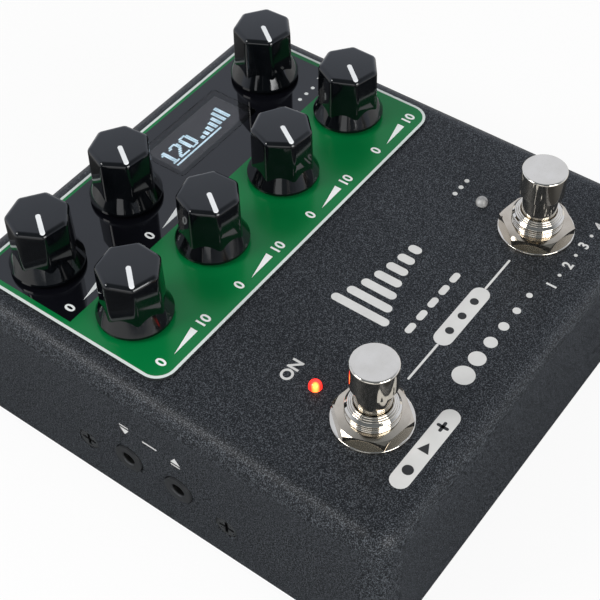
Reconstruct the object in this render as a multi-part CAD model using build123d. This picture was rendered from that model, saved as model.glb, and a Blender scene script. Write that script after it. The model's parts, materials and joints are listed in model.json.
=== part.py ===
from build123d import *
import os
from math import atan, cos, degrees, hypot, pi, sqrt

# A tape echo pedal. X runs to the player's right, Y to the back, Z up.
# The origin is the middle of the rubber pad's underside. Lengths are in millimetres.

# Case: a folded metal cover, closed by a base plate that stands on a rubber pad
CASE_WIDE = 119.0
CASE_DEEP = 124.5
CASE_TALL = 41.6
CASE_WALL = 1.6
CASE_FOLD = 5.5
CASE_CORNER = 6.5
BASE_THICK = 1.2
BASE_GAP = 0.3
PAD_THICK = 2.0
PAD_INSET = 6.0
PAD_CORNER = 8.0
PAD_EDGE = 0.6

# Screws in the sides of the case, and the tabs of the base plate that they bite
SCREW_SPACING = 41.0
SCREW_HIGH = 12.2
SCREW_R = 1.5
SCREW_HEAD_R = 3.0
SCREW_SUNK = 0.15
SCREW_TIP = 0.4
CROSS_LONG = 4.2
CROSS_WIDE = 0.9
CROSS_DEEP = 0.9
TAB_WIDE = 13.0
TAB_PAST_SCREW = 5.0

# Clearances: round pieces in holes, turning shafts, sliding plungers and pieces laid beside each other
HOLE_CLEAR = 0.1
SHAFT_CLEAR = 0.03
PLUNGER_CLEAR = 0.05
SEAT_CLEAR = 0.1
CUT = 4.0

# Control panel: a thin glossy plate on the back half of the top
PANEL_MARGIN = 5.9
PANEL_DEEP = 56.6
PANEL_THICK = 0.8
PANEL_CORNER = 5.0

# Knobs, in two rows of four places, front row first; the display takes one place of the back row
KNOB_PITCH_SHARE = 0.2565
ROW_FROM_EDGE = 17.75
ROW_PITCH = 26.75
ROWS = (("time", "repeat", "level", "reverb"), ("bass", "treble", "display", "select"))
KNOB_SIDES = 7
KNOB_TALL = 14.9
KNOB_BASE_R = 7.85
KNOB_TOP_R = 7.65
KNOB_SKIRT_R = 8.85
KNOB_SKIRT_TALL = 4.8
KNOB_SKIRT_EDGE = 0.7
KNOB_GAP = 1.0
KNOB_CORNER = 1.6
KNOB_SOFT = 1.2
KNOB_RECESS_R = 6.6
KNOB_CEILING = 1.2
KNOB_GRIP = 8.5
POINTER_WIDE = 1.15
POINTER_START = 0.2
POINTER_EDGE = 0.75
POINTER_DEEP = 0.6
REST_TURNS = {
    "time": -131.5,
    "repeat": -125.5,
    "level": -122.0,
    "reverb": -129.0,
    "bass": -126.0,
    "treble": -123.5,
    "select": -126.0,
}

# Potentiometers under the knobs
POT_WIDE = 9.6
POT_DEEP = 11.0
POT_TALL = 6.8
POT_BUSH_R = 3.5
POT_NUT_FLATS = 10.0
POT_NUT_TALL = 2.0
POT_BUSH_PROUD = 0.6
SHAFT_R = 3.0
SHAFT_FLAT = 1.5
SHAFT_IN_POT = 4.0

# Footswitches
SWITCH_SPACING_SHARE = 0.5714
SWITCH_FROM_FRONT = 20.65
SWITCH_TRAVEL = 2.2
SWITCH_STOP = 4.2
SWITCH_BODY_WIDE = 17.0
SWITCH_BODY_TALL = 16.6
BUSH_R = 6.0
BUSH_PROUD = 5.9
BUSH_CHAMFER = 0.5
THREAD_PITCH = 0.9
THREAD_DEEP = 0.4
KEYWAY_WIDE = 1.6
KEYWAY_DEEP = 0.6
WASHER_R = 9.1
WASHER_THICK = 0.8
WASHER_SOFT = 0.25
NUT_FLATS = 15.5
NUT_TALL = 2.2
NUT_CHAMFER = 0.9
LOCKNUT_TALL = 2.2
NECK_R = 4.1
CAP_R = 5.25
CAP_TALL = 6.9
CAP_CONE = 0.4
CAP_SOFT = 0.45
PLUNGER_IN = 8.0
SPRING_TALL = 6.0
SPRING_WIRE_R = 0.3
SPRING_R = 3.2
SPRING_HALF_TURNS = 10
LUG_WIDE = 2.2
LUG_THICK = 0.8
LUG_LONG = 3.5
LUG_PITCH = 4.8
LUG_ROW = 9.0
LUG_COUNT = 3
NUT_TURN = -10.0
KEYWAY_TURNS = {"on": 60.0, "tap": 150.0}

# Indicator lamps, behind the footswitches
LED_FROM_SWITCH = 14.8
LED_R = 1.5
LED_PROUD = 0.3
LED_FLANGE_R = 1.9
LED_FLANGE_TALL = 1.0
LEG_WIDE = 0.5
LEG_SPACING = 1.6

# Display behind a smoked window
WINDOW_WIDE = 30.0
WINDOW_DEEP = 14.5
WINDOW_LEDGE = 1.6
WINDOW_CORNER = 1.0
GLASS_THICK = 1.5
GASKET_THICK = 0.8
GASKET_WIDE = 2.0
MODULE_RIM = 3.0
MODULE_THICK = 1.2
HEADER_WIDE = 20.0
HEADER_DEEP = 2.6

# Boards
BOARD_THICK = 1.6
BOARD_GAP = 4.0
BOARD_CORNER = 2.0
TAB_CLEAR = 0.9
DECK_GAP = 6.6
STANDOFF_FLATS = 5.5
STANDOFF_FROM_SIDE = 6.0
STANDOFF_FROM_END = 5.0
STANDOFF_FROM_SOCKET = 6.35
BOARD_SCREW_R = 1.45
BOARD_SCREW_HEAD_R = 2.75
BOARD_SCREW_HEAD_TALL = 1.8
BOARD_SCREW_SLOT = 0.8
CHIP_WIDE = 14.0
CHIP_TALL = 1.4
CHIP_FROM_FRONT = 14.0
CHIP_SPACING = 48.0
SOCKET_WIDE = 18.0
SOCKET_DEEP = 5.0
SOCKET_TALL = 4.0
RIBBON_WIDE = 15.0
RIBBON_THICK = 0.9
RIBBON_STEP = 6.0
RIBBON_LEAD = 3.0
RIBBON_BEND = 1.6
RIBBON_FROM_FRONT = 32.0

# Sockets for plugs, in the back face
JACK_WIDE = 14.6
JACK_DEEP = 24.0
JACK_TALL = 14.0
JACK_FROM_CORNER = 0.3
JACK_PITCH_SHARE = 0.4185
JACK_NOSE_R = 4.5
JACK_NOSE_PROUD = 4.0
JACK_BORE_R = 3.2
JACK_END = 2.0
JACK_NUT_FLATS = 12.0
JACK_NUT_TALL = 2.4
JACK_MOUTH = 0.4
DC_X_SHARE = -0.0588
DC_WIDE = 9.0
DC_DEEP = 12.0
DC_TALL = 11.0
DC_NOSE_R = 4.0
DC_BORE_R = 3.0
DC_BORE_DEEP = 9.0
DC_PIN_R = 1.05
DC_PIN_SHORT = 1.0
USB_X_SHARE = 0.0756
USB_WIDE = 9.0
USB_TALL = 3.3
USB_DEEP = 8.4
USB_WALL = 0.35
USB_BACK = 1.0
USB_TONGUE_WIDE = 6.6
USB_TONGUE_TALL = 0.7
USB_TONGUE_SHORT = 1.0
USB_SUNK = 0.3

# Small round sockets in the left face
MIDI_SPACING = 14.6
MIDI_WIDE = 10.0
MIDI_DEEP = 13.0
MIDI_TALL = 10.0
MIDI_NOSE_R = 3.8
MIDI_PROUD = 0.5
MIDI_BORE_R = 1.8
MIDI_END = 2.0
MIDI_MOUTH = 0.25

# Heights of the stack
BASE_TOP_Z = PAD_THICK + BASE_THICK
TOP_Z = PAD_THICK + CASE_TALL
UNDER_TOP_Z = TOP_Z - CASE_WALL
PANEL_Z = TOP_Z + PANEL_THICK
CONTROL_BOARD_Z = UNDER_TOP_Z - POT_TALL
MAIN_BOARD_Z = CONTROL_BOARD_Z - BOARD_THICK - DECK_GAP - JACK_TALL
STANDOFF_TALL = MAIN_BOARD_Z - BOARD_THICK - BASE_TOP_Z
SCREW_Z = PAD_THICK + SCREW_HIGH
KNOB_Z = PANEL_Z + KNOB_GAP
POT_BUSH_TOP_Z = PANEL_Z + POT_NUT_TALL + POT_BUSH_PROUD
KNOB_CEILING_Z = POT_BUSH_TOP_Z + KNOB_CEILING
BUSH_TOP_Z = TOP_Z + BUSH_PROUD
CAP_Z = BUSH_TOP_Z + SWITCH_TRAVEL + SWITCH_STOP
SWITCH_BODY_TOP_Z = UNDER_TOP_Z - LOCKNUT_TALL
PLUNGER_END_Z = SWITCH_BODY_TOP_Z - PLUNGER_IN
SPRING_FLOOR_Z = PLUNGER_END_Z - SPRING_TALL - SEAT_CLEAR
MODULE_TOP_Z = UNDER_TOP_Z - GASKET_THICK
JACK_Z = MAIN_BOARD_Z + JACK_TALL / 2
DC_Z = MAIN_BOARD_Z + DC_TALL / 2
USB_Z = MAIN_BOARD_Z + USB_TALL / 2
MIDI_Z = MAIN_BOARD_Z + MIDI_TALL / 2

# Places in plan
INNER_X = CASE_WIDE / 2 - CASE_WALL
INNER_Y = CASE_DEEP / 2 - CASE_WALL
INNER_CORNER = CASE_CORNER - CASE_WALL
PANEL_WIDE = CASE_WIDE - 2 * PANEL_MARGIN
PANEL_BACK_Y = CASE_DEEP / 2 - PANEL_MARGIN
PANEL_FRONT_Y = PANEL_BACK_Y - PANEL_DEEP
KNOB_PITCH = PANEL_WIDE * KNOB_PITCH_SHARE
SWITCH_SPACING = CASE_WIDE * SWITCH_SPACING_SHARE
SWITCH_Y = SWITCH_FROM_FRONT - CASE_DEEP / 2
LED_Y = SWITCH_Y + LED_FROM_SWITCH
SWITCHES = {"on": -SWITCH_SPACING / 2, "tap": SWITCH_SPACING / 2}
TAB_OUTER_X = INNER_X - BASE_GAP
MAIN_BOARD_X = TAB_OUTER_X - BASE_THICK - TAB_CLEAR
MAIN_BOARD_BACK_Y = INNER_Y - BASE_GAP
STANDOFF_FRONT_Y = -(MIDI_SPACING + MIDI_WIDE) / 2 - STANDOFF_FROM_SOCKET
STANDOFF_BACK_Y = INNER_Y - JACK_DEEP - STANDOFF_FROM_END
MAIN_BOARD_FRONT_Y = STANDOFF_FRONT_Y - STANDOFF_FROM_END
OUTER_JACK_X = INNER_X - INNER_CORNER - JACK_FROM_CORNER - JACK_WIDE / 2
JACK_PITCH = OUTER_JACK_X * JACK_PITCH_SHARE
DC_X = CASE_WIDE * DC_X_SHARE
USB_X = CASE_WIDE * USB_X_SHARE
JACKS = {
    "out_left": -OUTER_JACK_X,
    "out_right": -OUTER_JACK_X + JACK_PITCH,
    "in_left": OUTER_JACK_X - JACK_PITCH,
    "in_right": OUTER_JACK_X,
}
MIDIS = {"midi_in": MIDI_SPACING / 2, "midi_out": -MIDI_SPACING / 2}
SIDE_SCREWS = [(side, end * SCREW_SPACING / 2) for side in (-1, 1) for end in (-1, 1)]
STANDOFFS = [
    (side * (MAIN_BOARD_X - STANDOFF_FROM_SIDE), y)
    for side in (-1, 1)
    for y in (STANDOFF_FRONT_Y, STANDOFF_BACK_Y)
]


def panel_places():
    """Plan position of each of the panel's places by name."""
    places = {}
    for row, names in enumerate(ROWS):
        for column, name in enumerate(names):
            x = (column - (len(names) - 1) / 2) * KNOB_PITCH
            places[name] = (x, PANEL_FRONT_Y + ROW_FROM_EDGE + row * ROW_PITCH)
    return places


KNOB_PLACES = panel_places()
DISPLAY_X, DISPLAY_Y = KNOB_PLACES.pop("display")


def block(wide, deep, tall, x=0, y=0, z=0):
    """Box centred in plan on x, y and standing on z."""
    return Pos(x, y, z) * Box(wide, deep, tall, align=(Align.CENTER, Align.CENTER, Align.MIN))


def rod(radius, tall, x=0, y=0, z=0):
    """Upright cylinder standing on z."""
    return Pos(x, y, z) * Cylinder(radius, tall, align=(Align.CENTER, Align.CENTER, Align.MIN))


def plate(wide, deep, tall, corner, x=0, y=0, z=0):
    """Flat plate with rounded corners, standing on z."""
    return Pos(x, y, z) * extrude(RectangleRounded(wide, deep, corner), tall)


def hexagon(flats, tall, hole_r, turn=0):
    """Hexagonal nut standing on zero, with a plain round hole."""
    corner_r = flats / sqrt(3)
    blank = extrude(RegularPolygon(corner_r, 6, align=None, rotation=turn), tall)
    return blank - rod(hole_r, tall + 2 * CUT, z=-CUT)


def towards_back(solid, x, z):
    """Turn a solid that stands on zero so that it points to the back from the wall's inner face."""
    return Pos(x, INNER_Y, z) * Rot(-90, 0, 0) * solid


def towards_side(solid, side, y, z):
    """Turn a solid that stands on zero so that it points out of one side from the wall's inner face."""
    return Pos(side * INNER_X, y, z) * Rot(0, side * 90, 0) * solid


def make_top_cover():
    """Folded cover: top and four walls, with every opening in it."""
    shell = plate(CASE_WIDE, CASE_DEEP, CASE_TALL, CASE_CORNER, z=PAD_THICK)
    shell = fillet(shell.faces().sort_by(Axis.Z)[-1].edges(), CASE_FOLD)
    inside = plate(2 * INNER_X, 2 * INNER_Y, CASE_TALL - CASE_WALL, INNER_CORNER, z=PAD_THICK)
    inside = fillet(inside.faces().sort_by(Axis.Z)[-1].edges(), CASE_FOLD - CASE_WALL)
    shell -= inside
    through = CASE_WALL + 2 * CUT
    low = UNDER_TOP_Z - CUT
    cuts = [rod(POT_BUSH_R + HOLE_CLEAR, through, x, y, low) for x, y in KNOB_PLACES.values()]
    cuts += [rod(BUSH_R + HOLE_CLEAR, through, x, SWITCH_Y, low) for x in SWITCHES.values()]
    cuts += [rod(LED_R + HOLE_CLEAR, through, x, LED_Y, low) for x in SWITCHES.values()]
    cuts.append(block(*window_opening(), through, DISPLAY_X, DISPLAY_Y, low))
    cuts += [towards_side(screw_hole(), side, y, SCREW_Z) for side, y in SIDE_SCREWS]
    midi_hole = rod(MIDI_NOSE_R + 2 * HOLE_CLEAR, through, z=-CUT)
    cuts += [towards_side(midi_hole, -1, y, MIDI_Z) for y in MIDIS.values()]
    jack_hole = rod(JACK_NOSE_R + HOLE_CLEAR, through, z=-CUT)
    cuts += [towards_back(jack_hole, x, JACK_Z) for x in JACKS.values()]
    cuts.append(towards_back(rod(DC_NOSE_R + HOLE_CLEAR, through, z=-CUT), DC_X, DC_Z))
    usb_hole = usb_bar(2 * HOLE_CLEAR, through, -CUT)
    cuts.append(towards_back(usb_hole, USB_X, USB_Z))
    return shell - cuts


def window_opening():
    """Width and depth of the case's opening under the display window."""
    return WINDOW_WIDE - 2 * WINDOW_LEDGE, WINDOW_DEEP - 2 * WINDOW_LEDGE


def screw_hole():
    """Countersunk hole for a side screw, standing on the wall's inner face."""
    sink = SCREW_HEAD_R - SCREW_R
    face = CASE_WALL - SCREW_SUNK
    hole = rod(SCREW_R + HOLE_CLEAR, CASE_WALL + 2 * CUT, z=-CUT)
    cone = Cone(SCREW_R, SCREW_HEAD_R, sink, align=(Align.CENTER, Align.CENTER, Align.MIN))
    return hole + Pos(0, 0, face - sink) * cone + rod(SCREW_HEAD_R, SCREW_SUNK + CUT, z=face)


def make_side_screws():
    """Four countersunk cross-head screws, each as long as the wall and the tab that it holds."""
    sink = SCREW_HEAD_R - SCREW_R
    face = CASE_WALL - SCREW_SUNK
    tip = -(BASE_GAP + BASE_THICK + SCREW_TIP)
    head_r = SCREW_HEAD_R - HOLE_CLEAR / 2
    neck_r = SCREW_R - HOLE_CLEAR / 2
    outline = Polyline(
        (0, tip), (neck_r, tip), (neck_r, face - sink), (head_r, face), (0, face), close=True
    )
    screw = revolve(make_face(Plane.XZ * outline), Axis.Z)
    for turn in (0, 90):
        screw -= Rot(0, 0, turn) * block(CROSS_LONG, CROSS_WIDE, CROSS_DEEP + CUT, z=face - CROSS_DEEP)
    return [towards_side(screw, side, y, SCREW_Z) for side, y in SIDE_SCREWS]


def make_base_plate():
    """Base plate with four upright tabs for the side screws."""
    corner = INNER_CORNER - BASE_GAP
    base = plate(2 * TAB_OUTER_X, 2 * (INNER_Y - BASE_GAP), BASE_THICK, corner, z=PAD_THICK)
    tall = SCREW_HIGH + TAB_PAST_SCREW
    for side, y in SIDE_SCREWS:
        x = side * (TAB_OUTER_X - BASE_THICK / 2)
        base += block(BASE_THICK, TAB_WIDE, tall, x, y, PAD_THICK)
    bites = [towards_side(rod(SCREW_R, 2 * CUT, z=-CUT), side, y, SCREW_Z) for side, y in SIDE_SCREWS]
    return base - bites


def make_base_pad():
    """One-piece rubber pad under the base plate, softened along its lower edge."""
    pad = plate(CASE_WIDE - 2 * PAD_INSET, CASE_DEEP - 2 * PAD_INSET, PAD_THICK, PAD_CORNER)
    return chamfer(pad.faces().sort_by(Axis.Z)[0].edges(), PAD_EDGE)


def make_overlay_panel():
    """Thin glossy plate with holes for the shafts and the display window."""
    y = (PANEL_FRONT_Y + PANEL_BACK_Y) / 2
    panel = plate(PANEL_WIDE, PANEL_DEEP, PANEL_THICK, PANEL_CORNER, 0, y, TOP_Z)
    through = PANEL_THICK + 2 * CUT
    cuts = [rod(POT_BUSH_R + HOLE_CLEAR, through, *spot, TOP_Z - CUT) for spot in KNOB_PLACES.values()]
    cuts.append(plate(WINDOW_WIDE, WINDOW_DEEP, through, WINDOW_CORNER, DISPLAY_X, DISPLAY_Y, TOP_Z - CUT))
    return panel - cuts


def make_display_window():
    """Smoked window let into the panel, resting on the ledge of the case's opening."""
    wide = WINDOW_WIDE - 2 * SEAT_CLEAR
    deep = WINDOW_DEEP - 2 * SEAT_CLEAR
    corner = WINDOW_CORNER - SEAT_CLEAR
    return plate(wide, deep, PANEL_THICK, corner, DISPLAY_X, DISPLAY_Y, TOP_Z)


def make_display_module():
    """Screen glass on its own small board, on a header that stands on the control board."""
    wide, deep = window_opening()
    rim = 2 * MODULE_RIM
    board_z = MODULE_TOP_Z - MODULE_THICK
    module = block(wide + rim, deep + rim, MODULE_THICK, DISPLAY_X, DISPLAY_Y, board_z)
    wide -= 2 * SEAT_CLEAR
    deep -= 2 * SEAT_CLEAR
    glass_tall = GASKET_THICK + GLASS_THICK
    module += block(wide, deep, glass_tall, DISPLAY_X, DISPLAY_Y, MODULE_TOP_Z)
    stand = board_z - CONTROL_BOARD_Z
    return module + block(HEADER_WIDE, HEADER_DEEP, stand, DISPLAY_X, DISPLAY_Y, CONTROL_BOARD_Z)


def make_display_gasket():
    """Foam frame between the screen's board and the underside of the case."""
    wide, deep = window_opening()
    rim = 2 * GASKET_WIDE
    frame = block(wide + rim, deep + rim, GASKET_THICK, DISPLAY_X, DISPLAY_Y, MODULE_TOP_Z)
    return frame - block(wide, deep, GASKET_THICK + 2 * CUT, DISPLAY_X, DISPLAY_Y, MODULE_TOP_Z - CUT)


def shaft_outline(radius, flat):
    """Round shaft section with one flat, in plan."""
    return Circle(radius) - Pos(0, flat + radius) * Rectangle(2 * radius, 2 * radius)


def make_knob():
    """Seven-sided knob with a flared round skirt, standing on zero with one corner along X."""
    flat_in = (KNOB_BASE_R - KNOB_TOP_R) * cos(pi / KNOB_SIDES)
    draft = degrees(atan(flat_in / KNOB_TALL))
    body = extrude(RegularPolygon(KNOB_BASE_R, KNOB_SIDES, align=None), KNOB_TALL, taper=draft)
    corners = body.edges().filter_by(lambda edge: edge.bounding_box().size.Z > KNOB_TALL / 2)
    body = fillet(corners, KNOB_CORNER)
    body = fillet(body.faces().sort_by(Axis.Z)[-1].edges(), KNOB_SOFT)
    flat_r = KNOB_BASE_R * cos(pi / KNOB_SIDES)
    skirt = Polyline(
        (0, 0),
        (KNOB_SKIRT_R, 0),
        (KNOB_SKIRT_R, KNOB_SKIRT_EDGE),
        (flat_r - KNOB_SKIRT_EDGE, KNOB_SKIRT_TALL + KNOB_SKIRT_EDGE),
        (0, KNOB_SKIRT_TALL + KNOB_SKIRT_EDGE),
        close=True,
    )
    body += revolve(make_face(Plane.XZ * skirt), Axis.Z)
    ceiling = KNOB_CEILING_Z - KNOB_Z
    body -= rod(KNOB_RECESS_R, ceiling + CUT, z=-CUT)
    return body - Pos(0, 0, ceiling) * extrude(shaft_outline(SHAFT_R, SHAFT_FLAT), KNOB_GRIP)


def make_pointer_bar():
    """Bar through the knob's top, from near the middle to near the corner along X."""
    long = KNOB_TOP_R - POINTER_EDGE - POINTER_START
    bar = extrude(SlotOverall(long, POINTER_WIDE), POINTER_DEEP + CUT)
    return Pos(POINTER_START + long / 2, 0, KNOB_TALL - POINTER_DEEP) * bar


def make_shaft():
    """Potentiometer shaft, round in its bush and flatted in the knob."""
    end_z = UNDER_TOP_Z - SHAFT_IN_POT
    shaft = rod(SHAFT_R, KNOB_CEILING_Z - end_z, z=end_z)
    return shaft + Pos(0, 0, KNOB_CEILING_Z) * extrude(shaft_outline(SHAFT_R, SHAFT_FLAT), KNOB_GRIP)


def turned(solid, turn, spot, z=0):
    """Carry a knob's piece to its place, with its pointer at the low end of its travel."""
    return Pos(*spot, z) * Rot(0, 0, turn) * solid


def make_pots():
    """Seven potentiometer bodies with threaded bushes, bored for their shafts."""
    pot = block(POT_WIDE, POT_DEEP, POT_TALL, z=CONTROL_BOARD_Z)
    pot += rod(POT_BUSH_R, POT_BUSH_TOP_Z - UNDER_TOP_Z, z=UNDER_TOP_Z)
    end_z = UNDER_TOP_Z - SHAFT_IN_POT - SEAT_CLEAR
    pot -= rod(SHAFT_R + SHAFT_CLEAR, POT_BUSH_TOP_Z - end_z + CUT, z=end_z)
    return [Pos(*spot) * pot for spot in KNOB_PLACES.values()]


def make_pot_nuts():
    """Hexagonal nuts that clamp the panel to the case round each shaft."""
    nut = hexagon(POT_NUT_FLATS, POT_NUT_TALL, POT_BUSH_R + HOLE_CLEAR / 2)
    return [Pos(*spot, PANEL_Z) * nut for spot in KNOB_PLACES.values()]


def threaded_bush(bottom_z, top_z):
    """Footswitch bush: a plain shank with ridged thread above the case and a bevelled mouth."""
    root_r = BUSH_R - THREAD_DEEP
    points = [(0, bottom_z), (BUSH_R, bottom_z), (BUSH_R, TOP_Z)]
    ridges = int((top_z - BUSH_CHAMFER - TOP_Z) / THREAD_PITCH)
    for ridge in range(ridges):
        start = TOP_Z + ridge * THREAD_PITCH
        points += [(root_r, start + THREAD_PITCH / 2), (BUSH_R, start + THREAD_PITCH)]
    points += [(BUSH_R, top_z - BUSH_CHAMFER), (BUSH_R - BUSH_CHAMFER, top_z), (0, top_z)]
    return revolve(make_face(Plane.XZ * Polyline(*points, close=True)), Axis.Z)


def make_switch_body(turn):
    """Footswitch body with its bush, plunger bore and soldering lugs."""
    low_z = SWITCH_BODY_TOP_Z - SWITCH_BODY_TALL
    body = block(SWITCH_BODY_WIDE, SWITCH_BODY_WIDE, SWITCH_BODY_TALL, z=low_z)
    body += threaded_bush(SWITCH_BODY_TOP_Z, BUSH_TOP_Z)
    body -= rod(NECK_R + PLUNGER_CLEAR, BUSH_TOP_Z - SPRING_FLOOR_Z + CUT, z=SPRING_FLOOR_Z)
    keyway_x = BUSH_R - KEYWAY_DEEP / 2
    keyway_tall = BUSH_PROUD - WASHER_THICK - NUT_TALL
    keyway = block(KEYWAY_DEEP, KEYWAY_WIDE, keyway_tall + CUT, keyway_x, 0, BUSH_TOP_Z - keyway_tall)
    body -= Rot(0, 0, turn) * keyway
    for row in (-1, 1):
        for lug in range(LUG_COUNT):
            y = (lug - (LUG_COUNT - 1) / 2) * LUG_PITCH
            body += block(LUG_THICK, LUG_WIDE, LUG_LONG, row * LUG_ROW / 2, y, low_z - LUG_LONG)
    return body


def make_plunger():
    """Footswitch plunger: a round neck that slides in the bush, under a wider cap."""
    outline = Polyline(
        (0, PLUNGER_END_Z),
        (NECK_R, PLUNGER_END_Z),
        (NECK_R, CAP_Z),
        (CAP_R, CAP_Z + CAP_CONE),
        (CAP_R, CAP_Z + CAP_TALL),
        (0, CAP_Z + CAP_TALL),
        close=True,
    )
    plunger = revolve(make_face(Plane.XZ * outline), Axis.Z)
    return fillet(plunger.faces().sort_by(Axis.Z)[-1].edges(), CAP_SOFT)


def make_spring():
    """Return spring: half turns of wire, each an arc tilted to climb half the pitch."""
    low = SPRING_FLOOR_Z + SEAT_CLEAR / 2 + SPRING_WIRE_R
    climb = (SPRING_TALL - 2 * SPRING_WIRE_R) / SPRING_HALF_TURNS
    arc_r = hypot(SPRING_R, climb / 2)
    arcs = []
    for half in range(SPRING_HALF_TURNS):
        side = 1 if half % 2 == 0 else -1
        z = low + half * climb
        start = (side * SPRING_R, 0, z)
        middle = (0, side * arc_r, z + climb / 2)
        end = (-side * SPRING_R, 0, z + climb)
        arcs.append(ThreePointArc(start, middle, end))
    path = Wire(arcs)
    section = Plane(origin=path @ 0, z_dir=path % 0) * Circle(SPRING_WIRE_R)
    return sweep(section, path)


def make_switch_nuts():
    """Outside nuts of the footswitches, bevelled round their upper corners."""
    corner_r = NUT_FLATS / sqrt(3)
    bevel = rod(corner_r, NUT_TALL)
    bevel = chamfer(bevel.faces().sort_by(Axis.Z)[-1].edges(), NUT_CHAMFER / 2, NUT_CHAMFER)
    nut = hexagon(NUT_FLATS, NUT_TALL, BUSH_R + HOLE_CLEAR / 2, NUT_TURN) & bevel
    return [Pos(x, SWITCH_Y, TOP_Z + WASHER_THICK) * nut for x in SWITCHES.values()]


def make_switch_washers():
    """Flat washers between the outside nuts and the case."""
    washer = rod(WASHER_R, WASHER_THICK)
    washer = fillet(washer.faces().sort_by(Axis.Z)[-1].edges(), WASHER_SOFT)
    washer -= rod(BUSH_R + HOLE_CLEAR, WASHER_THICK + 2 * CUT, z=-CUT)
    return [Pos(x, SWITCH_Y, TOP_Z) * washer for x in SWITCHES.values()]


def make_switch_locknuts():
    """Inside nuts that set how far each bush stands out of the case."""
    nut = hexagon(NUT_FLATS, LOCKNUT_TALL, BUSH_R + HOLE_CLEAR / 2)
    return [Pos(x, SWITCH_Y, SWITCH_BODY_TOP_Z) * nut for x in SWITCHES.values()]


def make_led():
    """Indicator lamp: a round-nosed lens with a flange under the case and two legs on the control board."""
    lens = rod(LED_R, TOP_Z + LED_PROUD - UNDER_TOP_Z, z=UNDER_TOP_Z)
    lens += Pos(0, 0, TOP_Z + LED_PROUD) * Sphere(LED_R)
    lens += rod(LED_FLANGE_R, LED_FLANGE_TALL, z=UNDER_TOP_Z - LED_FLANGE_TALL)
    for side in (-1, 1):
        leg = UNDER_TOP_Z - LED_FLANGE_TALL - CONTROL_BOARD_Z
        lens += block(LEG_WIDE, LEG_WIDE, leg, side * LEG_SPACING / 2, 0, CONTROL_BOARD_Z)
    return lens


def ribbon_ends():
    """Plan position of the ribbon's lower and upper sockets along Y."""
    low_y = MAIN_BOARD_FRONT_Y + RIBBON_FROM_FRONT
    return low_y, low_y + RIBBON_STEP


def make_control_board():
    """Board under the top: it carries the pots, the lamps and the display, with a socket underneath."""
    front = SWITCH_Y + SWITCH_BODY_WIDE / 2 + BOARD_GAP / 2
    back = INNER_Y - BOARD_GAP
    wide = 2 * (INNER_X - BOARD_GAP)
    z = CONTROL_BOARD_Z - BOARD_THICK
    board = plate(wide, back - front, BOARD_THICK, BOARD_CORNER, 0, (front + back) / 2, z)
    return board + block(SOCKET_WIDE, SOCKET_DEEP, SOCKET_TALL, 0, ribbon_ends()[1], z - SOCKET_TALL)


def make_main_board():
    """Board on the standoffs: it carries the sockets and the sound processor."""
    middle = (MAIN_BOARD_FRONT_Y + MAIN_BOARD_BACK_Y) / 2
    deep = MAIN_BOARD_BACK_Y - MAIN_BOARD_FRONT_Y
    z = MAIN_BOARD_Z - BOARD_THICK
    board = plate(2 * MAIN_BOARD_X, deep, BOARD_THICK, BOARD_CORNER, 0, middle, z)
    chip_y = MAIN_BOARD_FRONT_Y + CHIP_FROM_FRONT
    for side in (-1, 1):
        board += block(CHIP_WIDE, CHIP_WIDE, CHIP_TALL, side * CHIP_SPACING / 2, chip_y, MAIN_BOARD_Z)
    board += block(SOCKET_WIDE, SOCKET_DEEP, SOCKET_TALL, 0, ribbon_ends()[0], MAIN_BOARD_Z)
    hole_r = BOARD_SCREW_R + HOLE_CLEAR
    return board - [rod(hole_r, BOARD_THICK + 2 * CUT, x, y, z - CUT) for x, y in STANDOFFS]


def make_board_standoffs():
    """Hexagonal pillars between the base plate and the main board."""
    pillar = hexagon(STANDOFF_FLATS, STANDOFF_TALL, BOARD_SCREW_R + HOLE_CLEAR / 2)
    return [Pos(x, y, BASE_TOP_Z) * pillar for x, y in STANDOFFS]


def make_board_screws():
    """Pan-head screws that hold the main board on its pillars."""
    long = BOARD_THICK + STANDOFF_TALL / 2
    screw = rod(BOARD_SCREW_R, long, z=-long)
    head = rod(BOARD_SCREW_HEAD_R, BOARD_SCREW_HEAD_TALL)
    head = fillet(head.faces().sort_by(Axis.Z)[-1].edges(), BOARD_SCREW_HEAD_TALL / 3)
    slot_z = BOARD_SCREW_HEAD_TALL - BOARD_SCREW_SLOT
    head -= block(2 * BOARD_SCREW_HEAD_R, BOARD_SCREW_SLOT, BOARD_SCREW_SLOT + CUT, z=slot_z)
    return [Pos(x, y, MAIN_BOARD_Z) * (screw + head) for x, y in STANDOFFS]


def make_ribbon_cable():
    """Flat ribbon that steps up from the main board's socket to the control board's."""
    low_y, high_y = ribbon_ends()
    low_z = MAIN_BOARD_Z + SOCKET_TALL
    high_z = CONTROL_BOARD_Z - BOARD_THICK - SOCKET_TALL
    points = [
        (0, low_y, low_z),
        (0, low_y, low_z + RIBBON_LEAD),
        (0, high_y, high_z - RIBBON_LEAD),
        (0, high_y, high_z),
    ]
    path = FilletPolyline(*points, radius=RIBBON_BEND)
    section = Pos(0, low_y, low_z) * Rectangle(RIBBON_WIDE, RIBBON_THICK)
    return sweep(section, path)


def make_jack():
    """Plug socket: a block on the main board with a threaded nose through the back wall."""
    body = block(JACK_WIDE, JACK_TALL, JACK_DEEP, z=-JACK_DEEP)
    nose = CASE_WALL + JACK_NOSE_PROUD
    body += rod(JACK_NOSE_R, nose)
    body -= rod(JACK_BORE_R, JACK_DEEP - JACK_END + nose + CUT, z=JACK_END - JACK_DEEP)
    mouth_r = JACK_BORE_R + JACK_MOUTH
    mouth = Cone(JACK_BORE_R, mouth_r, JACK_MOUTH, align=(Align.CENTER, Align.CENTER, Align.MAX))
    return body - Pos(0, 0, nose) * mouth


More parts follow.
